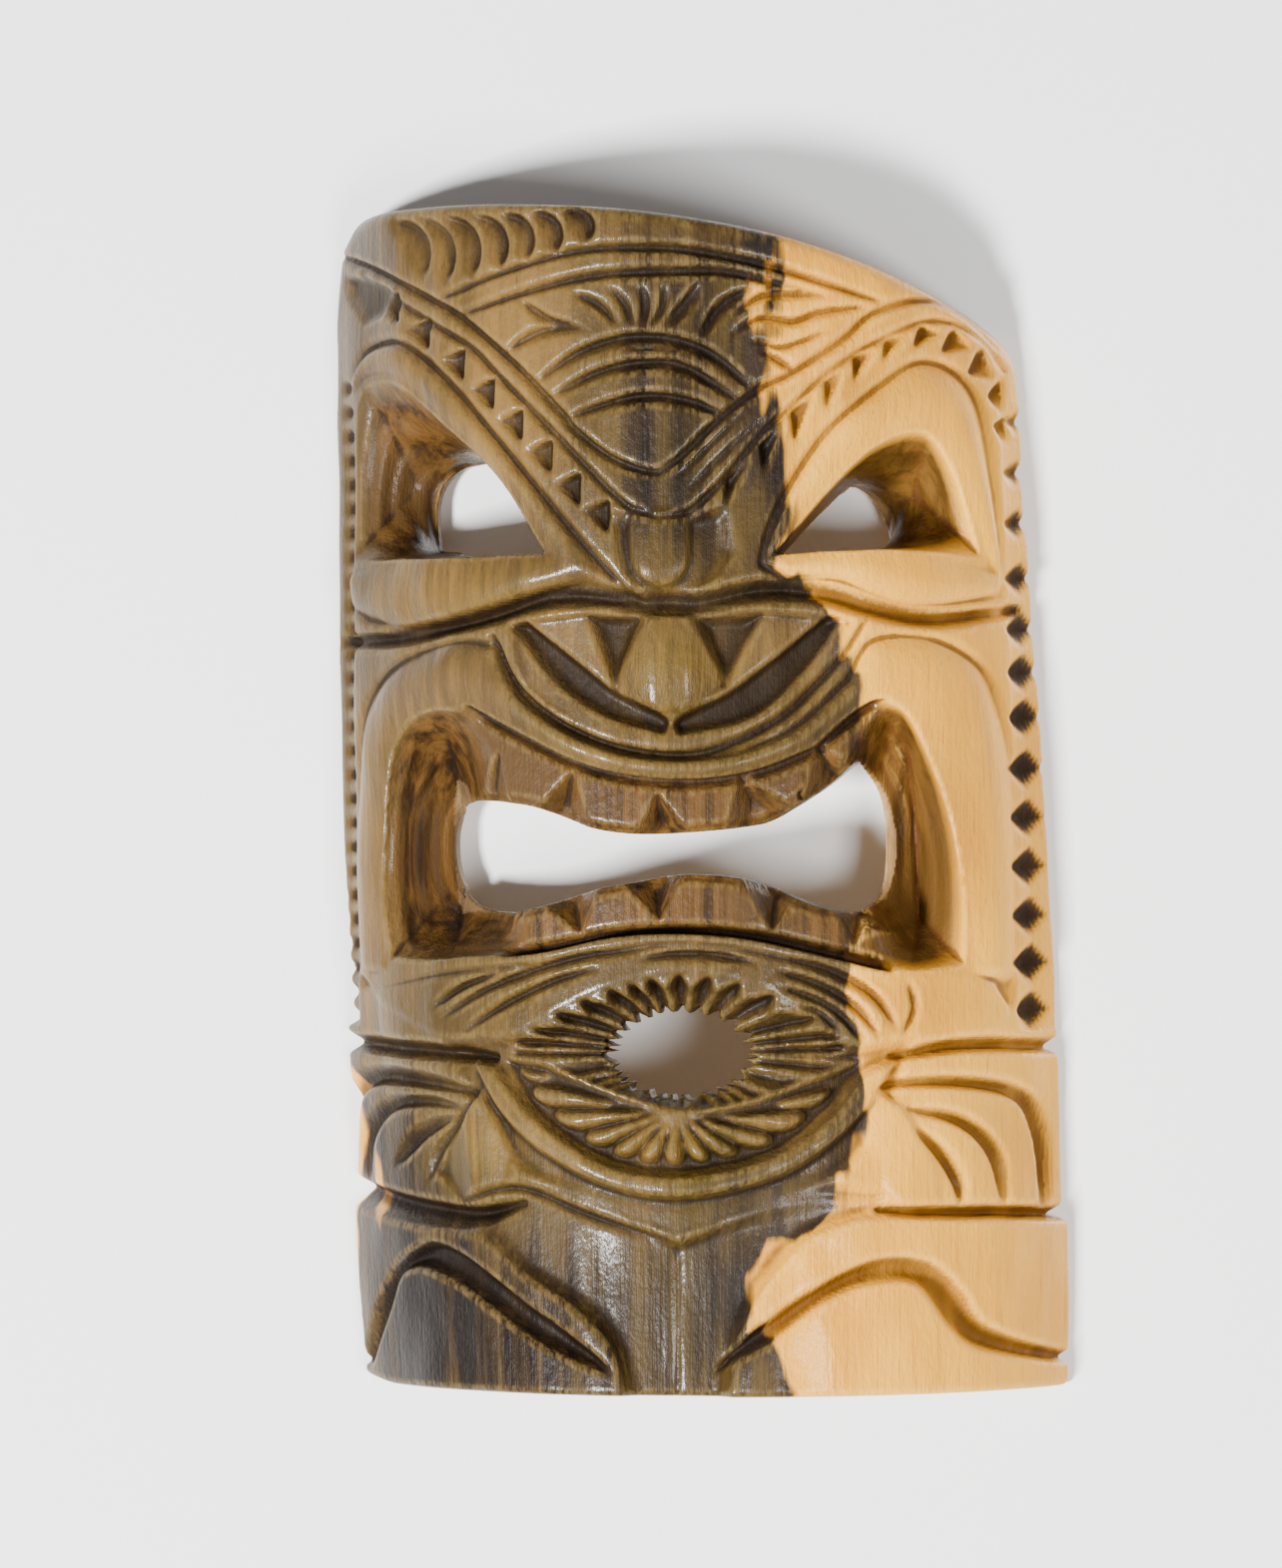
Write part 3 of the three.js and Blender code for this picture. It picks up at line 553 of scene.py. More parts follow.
def side_strips(relief):
    """Both borders: a sunk strip along the edge with a row of notches."""
    left_inner = [(-88.8, 256), (-89.2, 226), (-89.4, 196), (-89.6, 160), (-89.2, 124), (-88.4, 92)]
    right_inner = [(79.8, 250), (81.6, 226), (82.8, 196), (84.6, 160), (85.6, 124.5), (85.8, 91)]
    relief.field(outline((-120, 91), [left_inner[-1]], left_inner[-2::-1], [(-120, 262)]),
                 lambda x, z: 1.4 + 2.0 * ease(-z, -262, -225) * (1 - 0.6 * ease(-x, 91, 94)), edge=1.6)
    relief.field(outline((120, 90), [right_inner[-1]], right_inner[-2::-1], [(120, 252)]),
                 lambda x, z: 1.4 + 1.2 * ease(-z, -252, -225) * (1 - 0.6 * ease(x, 88, 93)), edge=1.6)
    for k in range(LEFT_NOTCHES):
        z = LEFT_NOTCH_FOOT_Z + LEFT_NOTCH_PITCH * k
        relief.pit([(LEFT_EDGE_X + 2.2, z), (LEFT_EDGE_X, z - 2.6), (LEFT_EDGE_X - 1.6, z - 1.4),
                    (LEFT_EDGE_X - 1.6, z + 1.4), (LEFT_EDGE_X, z + 2.6)], 2.0)
    for z in (246, 233, 220, 206, 193, 182, 170.5, 157.5, 145, 132.5, 120, 108, 96):
        edge = np.interp(z, [90, 160, 250], [89.2, 87.6, 83.4])
        small = np.interp(z, [180, 250], [1, 0.6])
        relief.pit([(edge - 4.8 * small, z), (edge, z + 5.8 * small), (edge + 3.8 * small, z),
                    (edge, z - 5.8 * small)], 3.6 * small)


def tool_marks(relief):
    """Slight unevenness, drawn out along the grain, that hand carving leaves."""
    random = np.random.default_rng(SEED)
    x, z = np.meshgrid(relief.xs, relief.zs, indexing="ij")
    for _ in range(TOOL_WAVES):
        across, along = random.uniform(0.10, 0.55), random.uniform(0.02, 0.22)
        phase = random.uniform(0, 2 * math.pi)
        tilt = random.uniform(-0.5, 0.5)
        relief.ground += TOOL_WAVE_HEIGHT * np.sin(across * (x + tilt * z * 0.2) + along * z + phase)


def carve_relief(xs, zs):
    relief = Relief(xs, zs, GROUND_DEPTH)
    forehead(relief)
    eyes(relief)
    nose(relief)
    side_strips(relief)
    mouth_frame(relief)
    chin(relief)
    lower_mouth(relief)
    hands(relief)
    belly(relief)
    thighs(relief)
    tool_marks(relief)
    return soften(relief.ground + relief.cuts), relief.cuts


def soften(grid):
    """Each value averaged a little with its neighbours."""
    for axis in (0, 1):
        grid = 0.6 * grid + 0.2 * (np.roll(grid, 1, axis) + np.roll(grid, -1, axis))
    return grid


def jagged_lens(x, z):
    """Across the small lower mouth: 1 above it and 0 below, tooth shape, and share of the hole's radius."""
    across = (x - LENS_CENTRE[0]) / LENS_HOLE_SIZE[0]
    up = (z - LENS_CENTRE[1]) / LENS_HOLE_SIZE[1]
    above = up > -0.05
    turn = np.arctan2(up, across) / math.pi
    upper = np.interp(turn, FLUTE_TURNS, np.arange(len(FLUTE_TURNS)))
    lower = turn * LOWER_TEETH + 0.3 * np.sin(7.3 * turn * math.pi) + 0.5
    tip = np.abs(1 - 2 * (np.where(above, upper, lower) % 1))
    return above, tip, np.hypot(across, up)


def lower_mouth(relief):
    """The small lens-shaped mouth in the chin: pointed flutes that run in from its rim to a jagged hole."""
    part, x, z = relief.window(LENS, 4)
    above, tip, radius = jagged_lens(x, z)
    reach = signed(LENS, x, z)
    notch = np.where(above, 4.6, 0.8) * (1 - tip)
    inside = ease(-(reach + notch), -0.1, 0.7)
    hole_gap = np.maximum(radius - 1, 0) * 12
    s = np.clip(-reach / np.maximum(-reach + hole_gap, 0.01), 0, 1)
    level = 2.6 + 5.6 * s + np.where(above, 3.0 * tip, 2.4 * (1 - tip))
    relief.ground[part] += (level - relief.ground[part]) * inside


# ------------------------------------------------ the block, as a field that is negative in the wood
TOP_EDGE = outline(
    (-120, -20), [(120, -20)], [(120, 200)], [(85.5, 248)],
    [(82.5, 261), (70, 272.5), (50, 283.5), (24, 292), (-8, 297.5), (-40, 299.7), (-64, 300), (-84, 298.5),
     (-92.5, 291)], [(-97, 270)], [(-120, 250)],
)
EDGE_ROUNDING = 3.5
BACK_ROUNDING = 1.2
FOOT_ROUNDING = 1.6
HOLLOW_COVER = 3.5
TOOTH_SINK = 7.0
EYE_RIM_HEIGHT = 5
WORN_CORNER = 3.2
CARVED_REACH = 140


def blunt(a, b, radius):
    """The larger of two fields, with the edge where they meet rounded over."""
    near = np.clip(radius - np.abs(a - b), 0, None) / radius
    return np.maximum(a, b) + near ** 2 * radius / 4


def steepness(height, step):
    """How much longer a height map's slope makes a vertical distance than the true one."""
    across, up = np.gradient(height, step)
    return np.sqrt(1 + across ** 2 + up ** 2)


def eye_floor(opening, hole, skin):
    """Height above the wall of an eye's bowl, from the rim of its opening down to the hole."""
    a = np.clip(-opening, 0, None)
    b = np.clip(hole, 0, None)
    s = a / np.maximum(a + b, 0.01)
    bowl = EYE_RIM_HEIGHT + (skin - EYE_RIM_HEIGHT) * (1 - s) ** 1.7
    return bowl + 0.22 * np.sin(s * 34)


def mouth_floor(x, z, opening, slit, skin):
    """Height of the mouth's inside above the wall: teeth in the middle, and a bowl at each end."""
    a = np.clip(-opening, 0, None)
    b = np.clip(slit, 0, None)
    s = a / np.maximum(a + b, 0.01)
    hollow = HOLLOW_DEPTH * np.sqrt(np.clip(1 - ((x - lean(z)) / HOLLOW_HALF_WIDTH) ** 2, 0, 1))
    low = np.maximum(9, hollow + HOLLOW_COVER)
    bowl = low + np.clip(skin - low, 0, None) * (1 - s) ** 1.5 + 0.25 * np.sin(s * 30)
    left_end = -50 + 0.25 * np.clip(150 - z, 0, 40)
    right_end = 43 + 0.30 * (z - 150) * (z > 138) + 0.9 * np.clip(126 - z, 0, 10)
    middle = ease(x, left_end - 7, left_end + 5) * (1 - ease(x, right_end - 4, right_end + 5))
    teeth = skin - TOOTH_SINK - 2.2 * (1 - ease(a, 0.8, 3.4)) - 1.6 * ease(-b, -2.6, 0) - teeth_chips(x, z)
    return bowl + (teeth - bowl) * middle


# The V-shaped chips between the teeth: the apex towards the lip, then the two ends of the open side.
TOOTH_GAPS = (
    ((-45, 163), (-53, 148), (-42, 145)), ((-25.5, 157.5), (-37, 146), (-20.5, 141)),
    ((-4.1, 152.4), (-10.5, 139), (6.5, 139)), ((16.5, 156.6), (12.5, 140), (32, 147)),
    ((35.7, 165), (32.5, 151), (43.5, 158)), ((-44.6, 112), (-50, 118.5), (-41, 121)),
    ((-23.5, 115), (-34.5, 124), (-18, 130)), ((-3.2, 118.4), (-14, 130), (3.5, 132.5)),
    ((24.9, 115.6), (15.5, 132), (32, 126.5)), ((44.6, 112.5), (38.5, 123.5), (49, 118.5)),
)


def teeth_chips(x, z):
    """How far the chips between the teeth are cut in, deepest along their middles."""
    cut = np.zeros_like(x)
    for apex, one, two in TOOTH_GAPS:
        inside = -signed(np.array([apex, one, two], float), x, z)
        open_side = nearest(np.array([one, two], float), x, z)[0]
        walls = np.minimum(nearest(np.array([apex, one], float), x, z)[0],
                           nearest(np.array([apex, two], float), x, z)[0])
        cut = np.maximum(cut, np.where((inside > 0) | ((open_side < 1.5) & (inside > -1.5)),
                                       np.minimum(walls * 1.35, 6.0), 0))
    return cut


def solid_field():
    xs = np.arange(cad_low.x / MM - MARGIN, cad_high.x / MM + MARGIN + STEP, STEP)
    ys = np.arange(cad_low.y / MM - MARGIN, WALL_Y + MARGIN + STEP, STEP)
    zs = np.arange(-MARGIN, HEIGHT + MARGIN + STEP, STEP)
    us = np.arange(-CARVED_REACH, CARVED_REACH, STEP)
    carved, cuts = carve_relief(us, zs)
    x, z = np.meshgrid(xs, zs, indexing="ij")
    skin = skin_height(x, z)
    top = signed(TOP_EDGE, x, z)
    cavities = []
    for opening, hole in ((EYE_LEFT, EYE_LEFT_HOLE), (EYE_RIGHT, EYE_RIGHT_HOLE)):
        rim = signed(opening, x, z)
        through = signed(hole, x, z)
        floor = eye_floor(rim, through, skin)
        cavities.append((rim, np.maximum(through, rim), floor, steepness(floor, STEP)))
    rim = signed(MOUTH, x, z)
    through = signed(MOUTH_SLIT, x, z)
    floor = mouth_floor(x, z, rim, through, skin)
    cavities.append((rim, np.maximum(through, rim), floor, steepness(floor, STEP)))
    above, tip, radius = jagged_lens(x, z)
    lens_hole = (radius - 1.0 - np.where(above, 0.24, 0.20) * (tip - 0.5)) * 10
    field = np.empty((len(xs), len(ys), len(zs)), np.float32)
    across, back = np.meshgrid(xs, ys, indexing="ij")
    height = WALL_Y - back
    for k, level in enumerate(zs):
        row = slice(None), k
        upright = (across - lean(level)) / girth(level)
        from_pith = np.hypot(upright, back - LOG_CENTRE_Y)
        foot = lean(level) + girth(level) * LOG_RADIUS * upright / from_pith
        value = np.interp(foot.ravel(), us, carved[row]).reshape(foot.shape) - (LOG_RADIUS - from_pith)
        value = blunt(value, top[row][:, None] + 0 * value, EDGE_ROUNDING)
        for rim, through, floor, slope in cavities:
            bowl = (height - floor[row][:, None]) / slope[row][:, None]
            value = np.maximum(value, np.minimum(-rim[row][:, None], bowl))
            value = np.maximum(value, -through[row][:, None])
        value = np.maximum(value, -lens_hole[row][:, None])
        value = np.maximum(value, hollow_field(across, height, level))
        value = blunt(value, -height, BACK_ROUNDING)
        value = blunt(value, worn_foot(across) - level, FOOT_ROUNDING)
        field[:, :, k] = np.maximum(value, pocket_field(across, height, level))
    return xs, ys, zs, field, us, carved, cuts


def hollow_share(x, y, z):
    """1 on the surface of the scoop behind the face, and less inside it."""
    a = (x - lean(z)) / HOLLOW_HALF_WIDTH
    b = np.maximum(WALL_Y - y, 0) / HOLLOW_DEPTH
    c = (2 * z - HOLLOW_FOOT_Z - HOLLOW_TOP_Z) / (HOLLOW_TOP_Z - HOLLOW_FOOT_Z)
    share = np.sqrt(a ** 2 + b ** 2 + np.abs(c) ** 9)
    return np.where(share < 1.05, share, 0)


def hollow_field(across, height, level):
    """The scoop behind the face, with the furrows that the gouge left running down it."""
    a = (across - lean(level)) / HOLLOW_HALF_WIDTH
    b = height / HOLLOW_DEPTH
    c = (2 * level - HOLLOW_FOOT_Z - HOLLOW_TOP_Z) / (HOLLOW_TOP_Z - HOLLOW_FOOT_Z)
    round_it = np.arctan2(b, a)
    furrow = 0.010 * np.cos(24 * round_it + 1.3 * math.sin(0.045 * level))
    furrow = furrow + 0.006 * np.cos(0.28 * level + 5 * a)
    return (1 - np.sqrt(a ** 2 + b ** 2 + abs(c) ** 9) + furrow) * HOLLOW_DEPTH


def worn_foot(across):
    """The sawn bottom is level but for its left corner, which is worn away a little."""
    return WORN_CORNER * ease(-across, 74, 96)


def pocket_field(across, height, level):
    """The flat pocket for the hanger, and the bores for its two screws."""
    inside = np.minimum(POCKET_HALF_WIDTH - np.abs(across), POCKET_DEPTH - height)
    inside = np.minimum(inside, min(level - POCKET_FOOT_Z, POCKET_TOP_Z - level))
    for centre in SCREW_ZS:
        bore = np.minimum(SCREW_BORE - np.hypot(across, level - centre), SCREW_BORE_END - height)
        inside = np.maximum(inside, bore)
    return inside


def surface_nets(xs, ys, zs, field):
    """A closed mesh of quads on the zero surface of the field."""
    inside = field < 0
    count = np.zeros(tuple(n - 1 for n in field.shape), np.uint8)
    corners = [(i, j, k) for i in (0, 1) for j in (0, 1) for k in (0, 1)]
    for i, j, k in corners:
        count += inside[i:field.shape[0] - 1 + i, j:field.shape[1] - 1 + j, k:field.shape[2] - 1 + k]
    mixed = (count > 0) & (count < 8)
    cells = np.argwhere(mixed)
    number = np.full(mixed.shape, -1, np.int32)
    number[mixed] = np.arange(len(cells))
    total = np.zeros((len(cells), 3))
    hits = np.zeros(len(cells))
    for axis in range(3):
        step = np.eye(3, dtype=int)[axis]
        for corner in corners:
            if corner[axis]:
                continue
            start = cells + corner
            a = field[tuple(start.T)]
            b = field[tuple((start + step).T)]
            crosses = (a < 0) != (b < 0)
            t = np.where(crosses, a / np.where(crosses, a - b, 1), 0)
            total += np.where(crosses[:, None], np.array(corner) + t[:, None] * step, 0)
            hits += crosses
    places = cells + total / hits[:, None]
    origin = np.array([xs[0], ys[0], zs[0]])
    quads = []
    for axis in range(3):
        one, two = [k for k in range(3) if k != axis]
        ahead = np.take(inside, range(1, field.shape[axis]), axis)
        behind = np.take(inside, range(field.shape[axis] - 1), axis)
        edges = np.argwhere(ahead != behind)
        flip = behind[tuple(edges.T)] == (axis == 1)
        ring = []
        for da, db in ((0, 0), (1, 0), (1, 1), (0, 1)):
            cell = edges.copy()
            cell[:, one] -= da
            cell[:, two] -= db
            ring.append(number[tuple(cell.T)])
        quad = np.stack(ring, axis=1)
        quad[flip] = quad[flip][:, ::-1]
        quads.append(quad)
    return origin + places * STEP, np.concatenate(quads)


# ------------------------------------------------ meshes
def make_mesh(name, points, faces, smooth=True):
    """An object from points in millimetres."""
    mesh = bpy.data.meshes.new(name)
    mesh.vertices.add(len(points))
    mesh.vertices.foreach_set("co", (np.asarray(points, np.float32) * MM).ravel())
    sizes = np.array([len(face) for face in faces])
    mesh.loops.add(int(sizes.sum()))
    mesh.loops.foreach_set("vertex_index",
                           np.concatenate([np.asarray(face) for face in faces]).astype(np.int32))
    mesh.polygons.add(len(faces))
    mesh.polygons.foreach_set("loop_start", np.concatenate([[0], np.cumsum(sizes)[:-1]]).astype(np.int32))
    mesh.update(calc_edges=True)
    mesh.polygons.foreach_set("use_smooth", np.full(len(faces), smooth))
    obj = bpy.data.objects.new(name, mesh)
    bpy.context.scene.collection.objects.link(obj)
    return obj


def add_attribute(obj, name, values):
    layer = obj.data.attributes.new(name, "FLOAT", "POINT")
    layer.data.foreach_set("value", np.asarray(values, np.float32))


def shade_and_wear_curvature(points, quads):
    """How far each point lies below its smoothed surroundings: above 0 in a crease, below on an edge. The
    wood paints shade into the creases from it, and wear onto the edges.
    """
    a = quads.ravel()
    b = np.roll(quads, -1, axis=1).ravel()
    count = np.bincount(a, minlength=len(points)) + np.bincount(b, minlength=len(points))
    smoothed = points.copy()
    for _ in range(CREASE_ROUNDS):
        mean = np.empty_like(smoothed)
        for axis in range(3):
            total = np.bincount(a, smoothed[b, axis], len(points))
            total += np.bincount(b, smoothed[a, axis], len(points))
            mean[:, axis] = total / count
        smoothed = mean
    one = points[quads[:, 2]] - points[quads[:, 0]]
    two = points[quads[:, 3]] - points[quads[:, 1]]
    face_normal = np.cross(one, two)
    normal = np.zeros_like(points)
    for axis in range(3):
        normal[:, axis] = np.bincount(a, np.repeat(face_normal[:, axis], 4), len(points))
    normal /= np.maximum(np.linalg.norm(normal, axis=1, keepdims=True), 1e-9)
    return np.einsum("ij,ij->i", smoothed - points, normal), normal


def sapwood_edge(z):
    """Where the dark heartwood ends and the pale sapwood starts, across the front."""
    return np.interp(z, [-1, 11, 20, 30, 40, 47, 60, 72, 84, 96, 104, 118, 126, 160, 172, 194, 200, 208,
                         235, 250, 265, 285, 300],
                     [33, 27, 24, 24, 33, 47, 45, 46, 52, 50, 44, 47, 51, 53, 48, 46, 32, 25, 24, 26, 27,
                      32, 35])


def left_sapwood_edge(z):
    """The sliver of sapwood that shows again at the lower left."""
    return np.interp(z, [-1, 20, 45, 60, 76, 88, 110], [-88, -86.5, -85.5, -88.5, -87, -97, -120])


# Large soft patches of darker wood (above 0) and lighter wood (below 0) on the front; one of them is
# painted shade.
# Each has x, z, half width, half height and strength.
TONES = (
    (-2, 262, 13, 34, 0.75), (-7, 250, 3.5, 40, 0.55), (15, 268, 9, 22, 0.45), (24, 287, 12, 8, 0.8),
    (-42, 272, 26, 28, -0.50), (-62, 240, 26, 24, -0.30), (-84, 285, 12, 16, 0.45), (4, 226, 16, 14, 0.65),
    (-55, 200, 36, 9, -0.35), (0, 184, 15, 12, -0.42), (-24, 189, 11, 8, -0.30), (22, 189, 10, 8, -0.30),
    (-58, 176, 24, 12, -0.30), (-86, 140, 7, 34, -0.55), (-10, 160, 30, 5, -0.25), (-66, 118, 20, 8, -0.25),
    (-10, 108, 40, 9, -0.05), (0, 64, 34, 10, -0.22), (-52, 62, 9, 12, -0.40), (-78, 62, 12, 18, 0.65),
    (-46, 16, 34, 26, 1.05), (-68, 14, 12, 30, 0.9), (-30, 8, 18, 14, 0.3), (4, 24, 20, 24, 0.30),
    (34, 50, 16, 12, 0.42), (18, 30, 9, 22, 0.25), (-20, 44, 22, 6, -0.10), (20, 205, 12, 12, 0.25),
    (40, 168, 10, 8, 0.30), (24, 120, 22, 8, 0.15), (1, 89, 34, 11, 0.75), (-46, 236, 10, 26, -0.2),
    (44, 262, 20, 14, 0.45), (82, 64, 10, 16, 0.40), (66, 282, 20, 8, 0.35), (62, 98, 14, 8, 0.35),
    # The patch at x 66, z 140 darkens the right end wall of the mouth: painted shade.
    (66, 196, 20, 5, 0.3), (66, 140, 9, 30, 0.9), (30, 216, 8, 8, 0.5), (27, 238, 7, 14, 0.9),
    (42, 252, 9, 6, 0.6),
)
# Patches where the wood has a grey, slightly violet cast.
GREYS = (
    (-88, 288, 14, 12, 0.8), (-84, 262, 10, 14, 0.7), (-84, 228, 5, 30, 0.5), (-74, 178, 16, 12, 0.8),
    (-38, 178, 14, 10, 0.35), (-30, 222, 16, 16, 0.3), (44, 190, 12, 10, 0.7), (34, 50, 18, 10, 0.7),
    (46, 160, 10, 12, 0.45), (-20, 44, 30, 8, 0.35), (0, 148, 40, 6, 0.5), (0, 120, 44, 6, 0.4),
    (0, 192, 30, 6, 0.4), (-88, 30, 6, 30, 0.3), (36, 116, 12, 8, 0.6),
)
# Patches with an olive green cast.
GREENS = (
    (6, 230, 22, 26, 0.7), (0, 184, 12, 14, 0.8), (0, 52, 40, 10, 0.9), (0, 66, 36, 10, 0.6),
    (-52, 200, 30, 8, 0.4), (-60, 62, 24, 18, 0.6), (0, 24, 28, 24, 0.6), (-20, 160, 30, 8, 0.5),
    (12, 275, 16, 14, 0.4), (-76, 290, 8, 10, 0.7), (-46, 100, 26, 8, 0.4),
)


def patches(table, x, z):
    total = np.zeros_like(x)
    for at_x, at_z, half_width, half_height, amount in table:
        total += amount * np.exp(-((x - at_x) / half_width) ** 2 - ((z - at_z) / half_height) ** 2)
    return total


def build_mask():
    xs, ys, zs, field, us, carved, cuts = solid_field()
    points, quads = surface_nets(xs, ys, zs, field)
    obj = make_mesh("carved_mask", points, list(quads))
    crease, normal = shade_and_wear_curvature(points, quads)
    x, y, z = points.T
    across = (x - lean(z)) / girth(z)
    from_pith = np.hypot(across, y - LOG_CENTRE_Y)
    foot = lean(z) + girth(z) * LOG_RADIUS * across / from_pith
    buried = LOG_RADIUS - from_pith
    column = np.clip(((foot - us[0]) / STEP).astype(int), 0, len(us) - 1)
    level = np.clip(((z - zs[0]) / STEP).astype(int), 0, len(zs) - 1)
    # within: how far below the carved surface a point lies, reaching 1 at about 5 mm; the painted shade
    # inside the openings follows it.
    within = np.clip((buried - carved[column, level] - 0.8) / 4, 0, 1)
    rear = np.maximum(ease(y, WALL_Y - 1.2, WALL_Y - 0.3), ease(normal[:, 1], 0.25, 0.6))
    in_hollow = ease(hollow_share(x, y, z), 0.90, 0.97)
    add_attribute(obj, "crease", crease)
    add_attribute(obj, "cut", cuts[column, level] * (1 - within))
    add_attribute(obj, "within", within)
    # The recess is how far the relief lies below its broad average; the wood paints shade from it.
    around = carved
    for _ in range(RECESS_ROUNDS):
        around = soften(around)
    add_attribute(obj, "recess", (carved - around)[column, level] * (1 - within))
    strip = ease(z, 90, 92) * np.maximum(ease(foot, 83, 85.5), ease(-foot, 90.5, 92.5))
    add_attribute(obj, "burnt", strip * ease(cuts[column, level], 0.3, 1.6) * (1 - within))
    add_attribute(obj, "rear", np.maximum(rear, in_hollow))
    add_attribute(obj, "sap", np.maximum(foot - sapwood_edge(z), left_sapwood_edge(z) - foot))
    add_attribute(obj, "tone", patches(TONES, foot, z))
    add_attribute(obj, "grey", patches(GREYS, foot, z))
    add_attribute(obj, "green", patches(GREENS, foot, z))
    return obj


# ------------------------------------------------ materials
def srgb(*values):
    """A colour from 0 to 255 display values."""
    return tuple(((v / 255 + 0.055) / 1.055) ** 2.4 if v > 10.3 else v / 255 / 12.92 for v in values) + (1,)


class Shader:
    """Builds one material's nodes."""

    def __init__(self, name):
        self.material = bpy.data.materials.new(name)
        self.material.use_nodes = True
        self.tree = self.material.node_tree
        self.surface = self.tree.nodes["Principled BSDF"]

    def node(self, kind, inputs=(), **settings):
        made = self.tree.nodes.new("ShaderNode" + kind)
        for name, value in settings.items():
            setattr(made, name, value)
        for socket, value in dict(inputs).items():
            self.put(made.inputs[socket], value)
        return made

    def put(self, socket, value):
        if isinstance(value, bpy.types.NodeSocket):
            self.tree.links.new(value, socket)
        else:
            socket.default_value = value

    def attribute(self, name):
        return self.node("Attribute", attribute_name=name).outputs["Fac"]

    def math(self, operation, a, b, clamp=False):
        return self.node("Math", {0: a, 1: b}, operation=operation, use_clamp=clamp).outputs[0]

    def times(self, a, b, clamp=False):
        return self.math("MULTIPLY", a, b, clamp)

    def swing(self, noise, amount):
        """A noise taken about its middle value, and scaled."""
        return self.times(self.math("SUBTRACT", noise, 0.5), amount)

    def total(self, *values):
        result = values[0]
        for value in values[1:]:
            result = self.math("ADD", result, value)
        return result

    def rise(self, value, low, high):
        """0 below low, 1 above high. With low above high, the other way round."""
        made = self.node("MapRange", {"Value": value, "From Min": low, "From Max": high},
                         interpolation_type="SMOOTHSTEP")
        return made.outputs["Result"]

    def noise(self, scale, detail, roughness=0.5, distortion=0.0):
        """Noise from 0 to 1 about one half; scale is per metre along x, y and z."""
        place = self.node("TexCoord").outputs["Object"]
        scaled = self.node("VectorMath", {0: place, 1: scale}, operation="MULTIPLY").outputs[0]
        made = self.node("TexNoise", {"Vector": scaled, "Scale": 1.0, "Detail": detail,
                                      "Roughness": roughness, "Distortion": distortion})
        return made.outputs["Fac"]

    def mix(self, factor, a, b, blend="MIX"):
        made = self.node("Mix", {0: factor, 6: a, 7: b}, data_type="RGBA", blend_type=blend)
        return made.outputs[2]

    def finish(self, **inputs):
        for name, value in inputs.items():
            self.put(self.surface.inputs[name.replace("_", " ")], value)
        return self.material


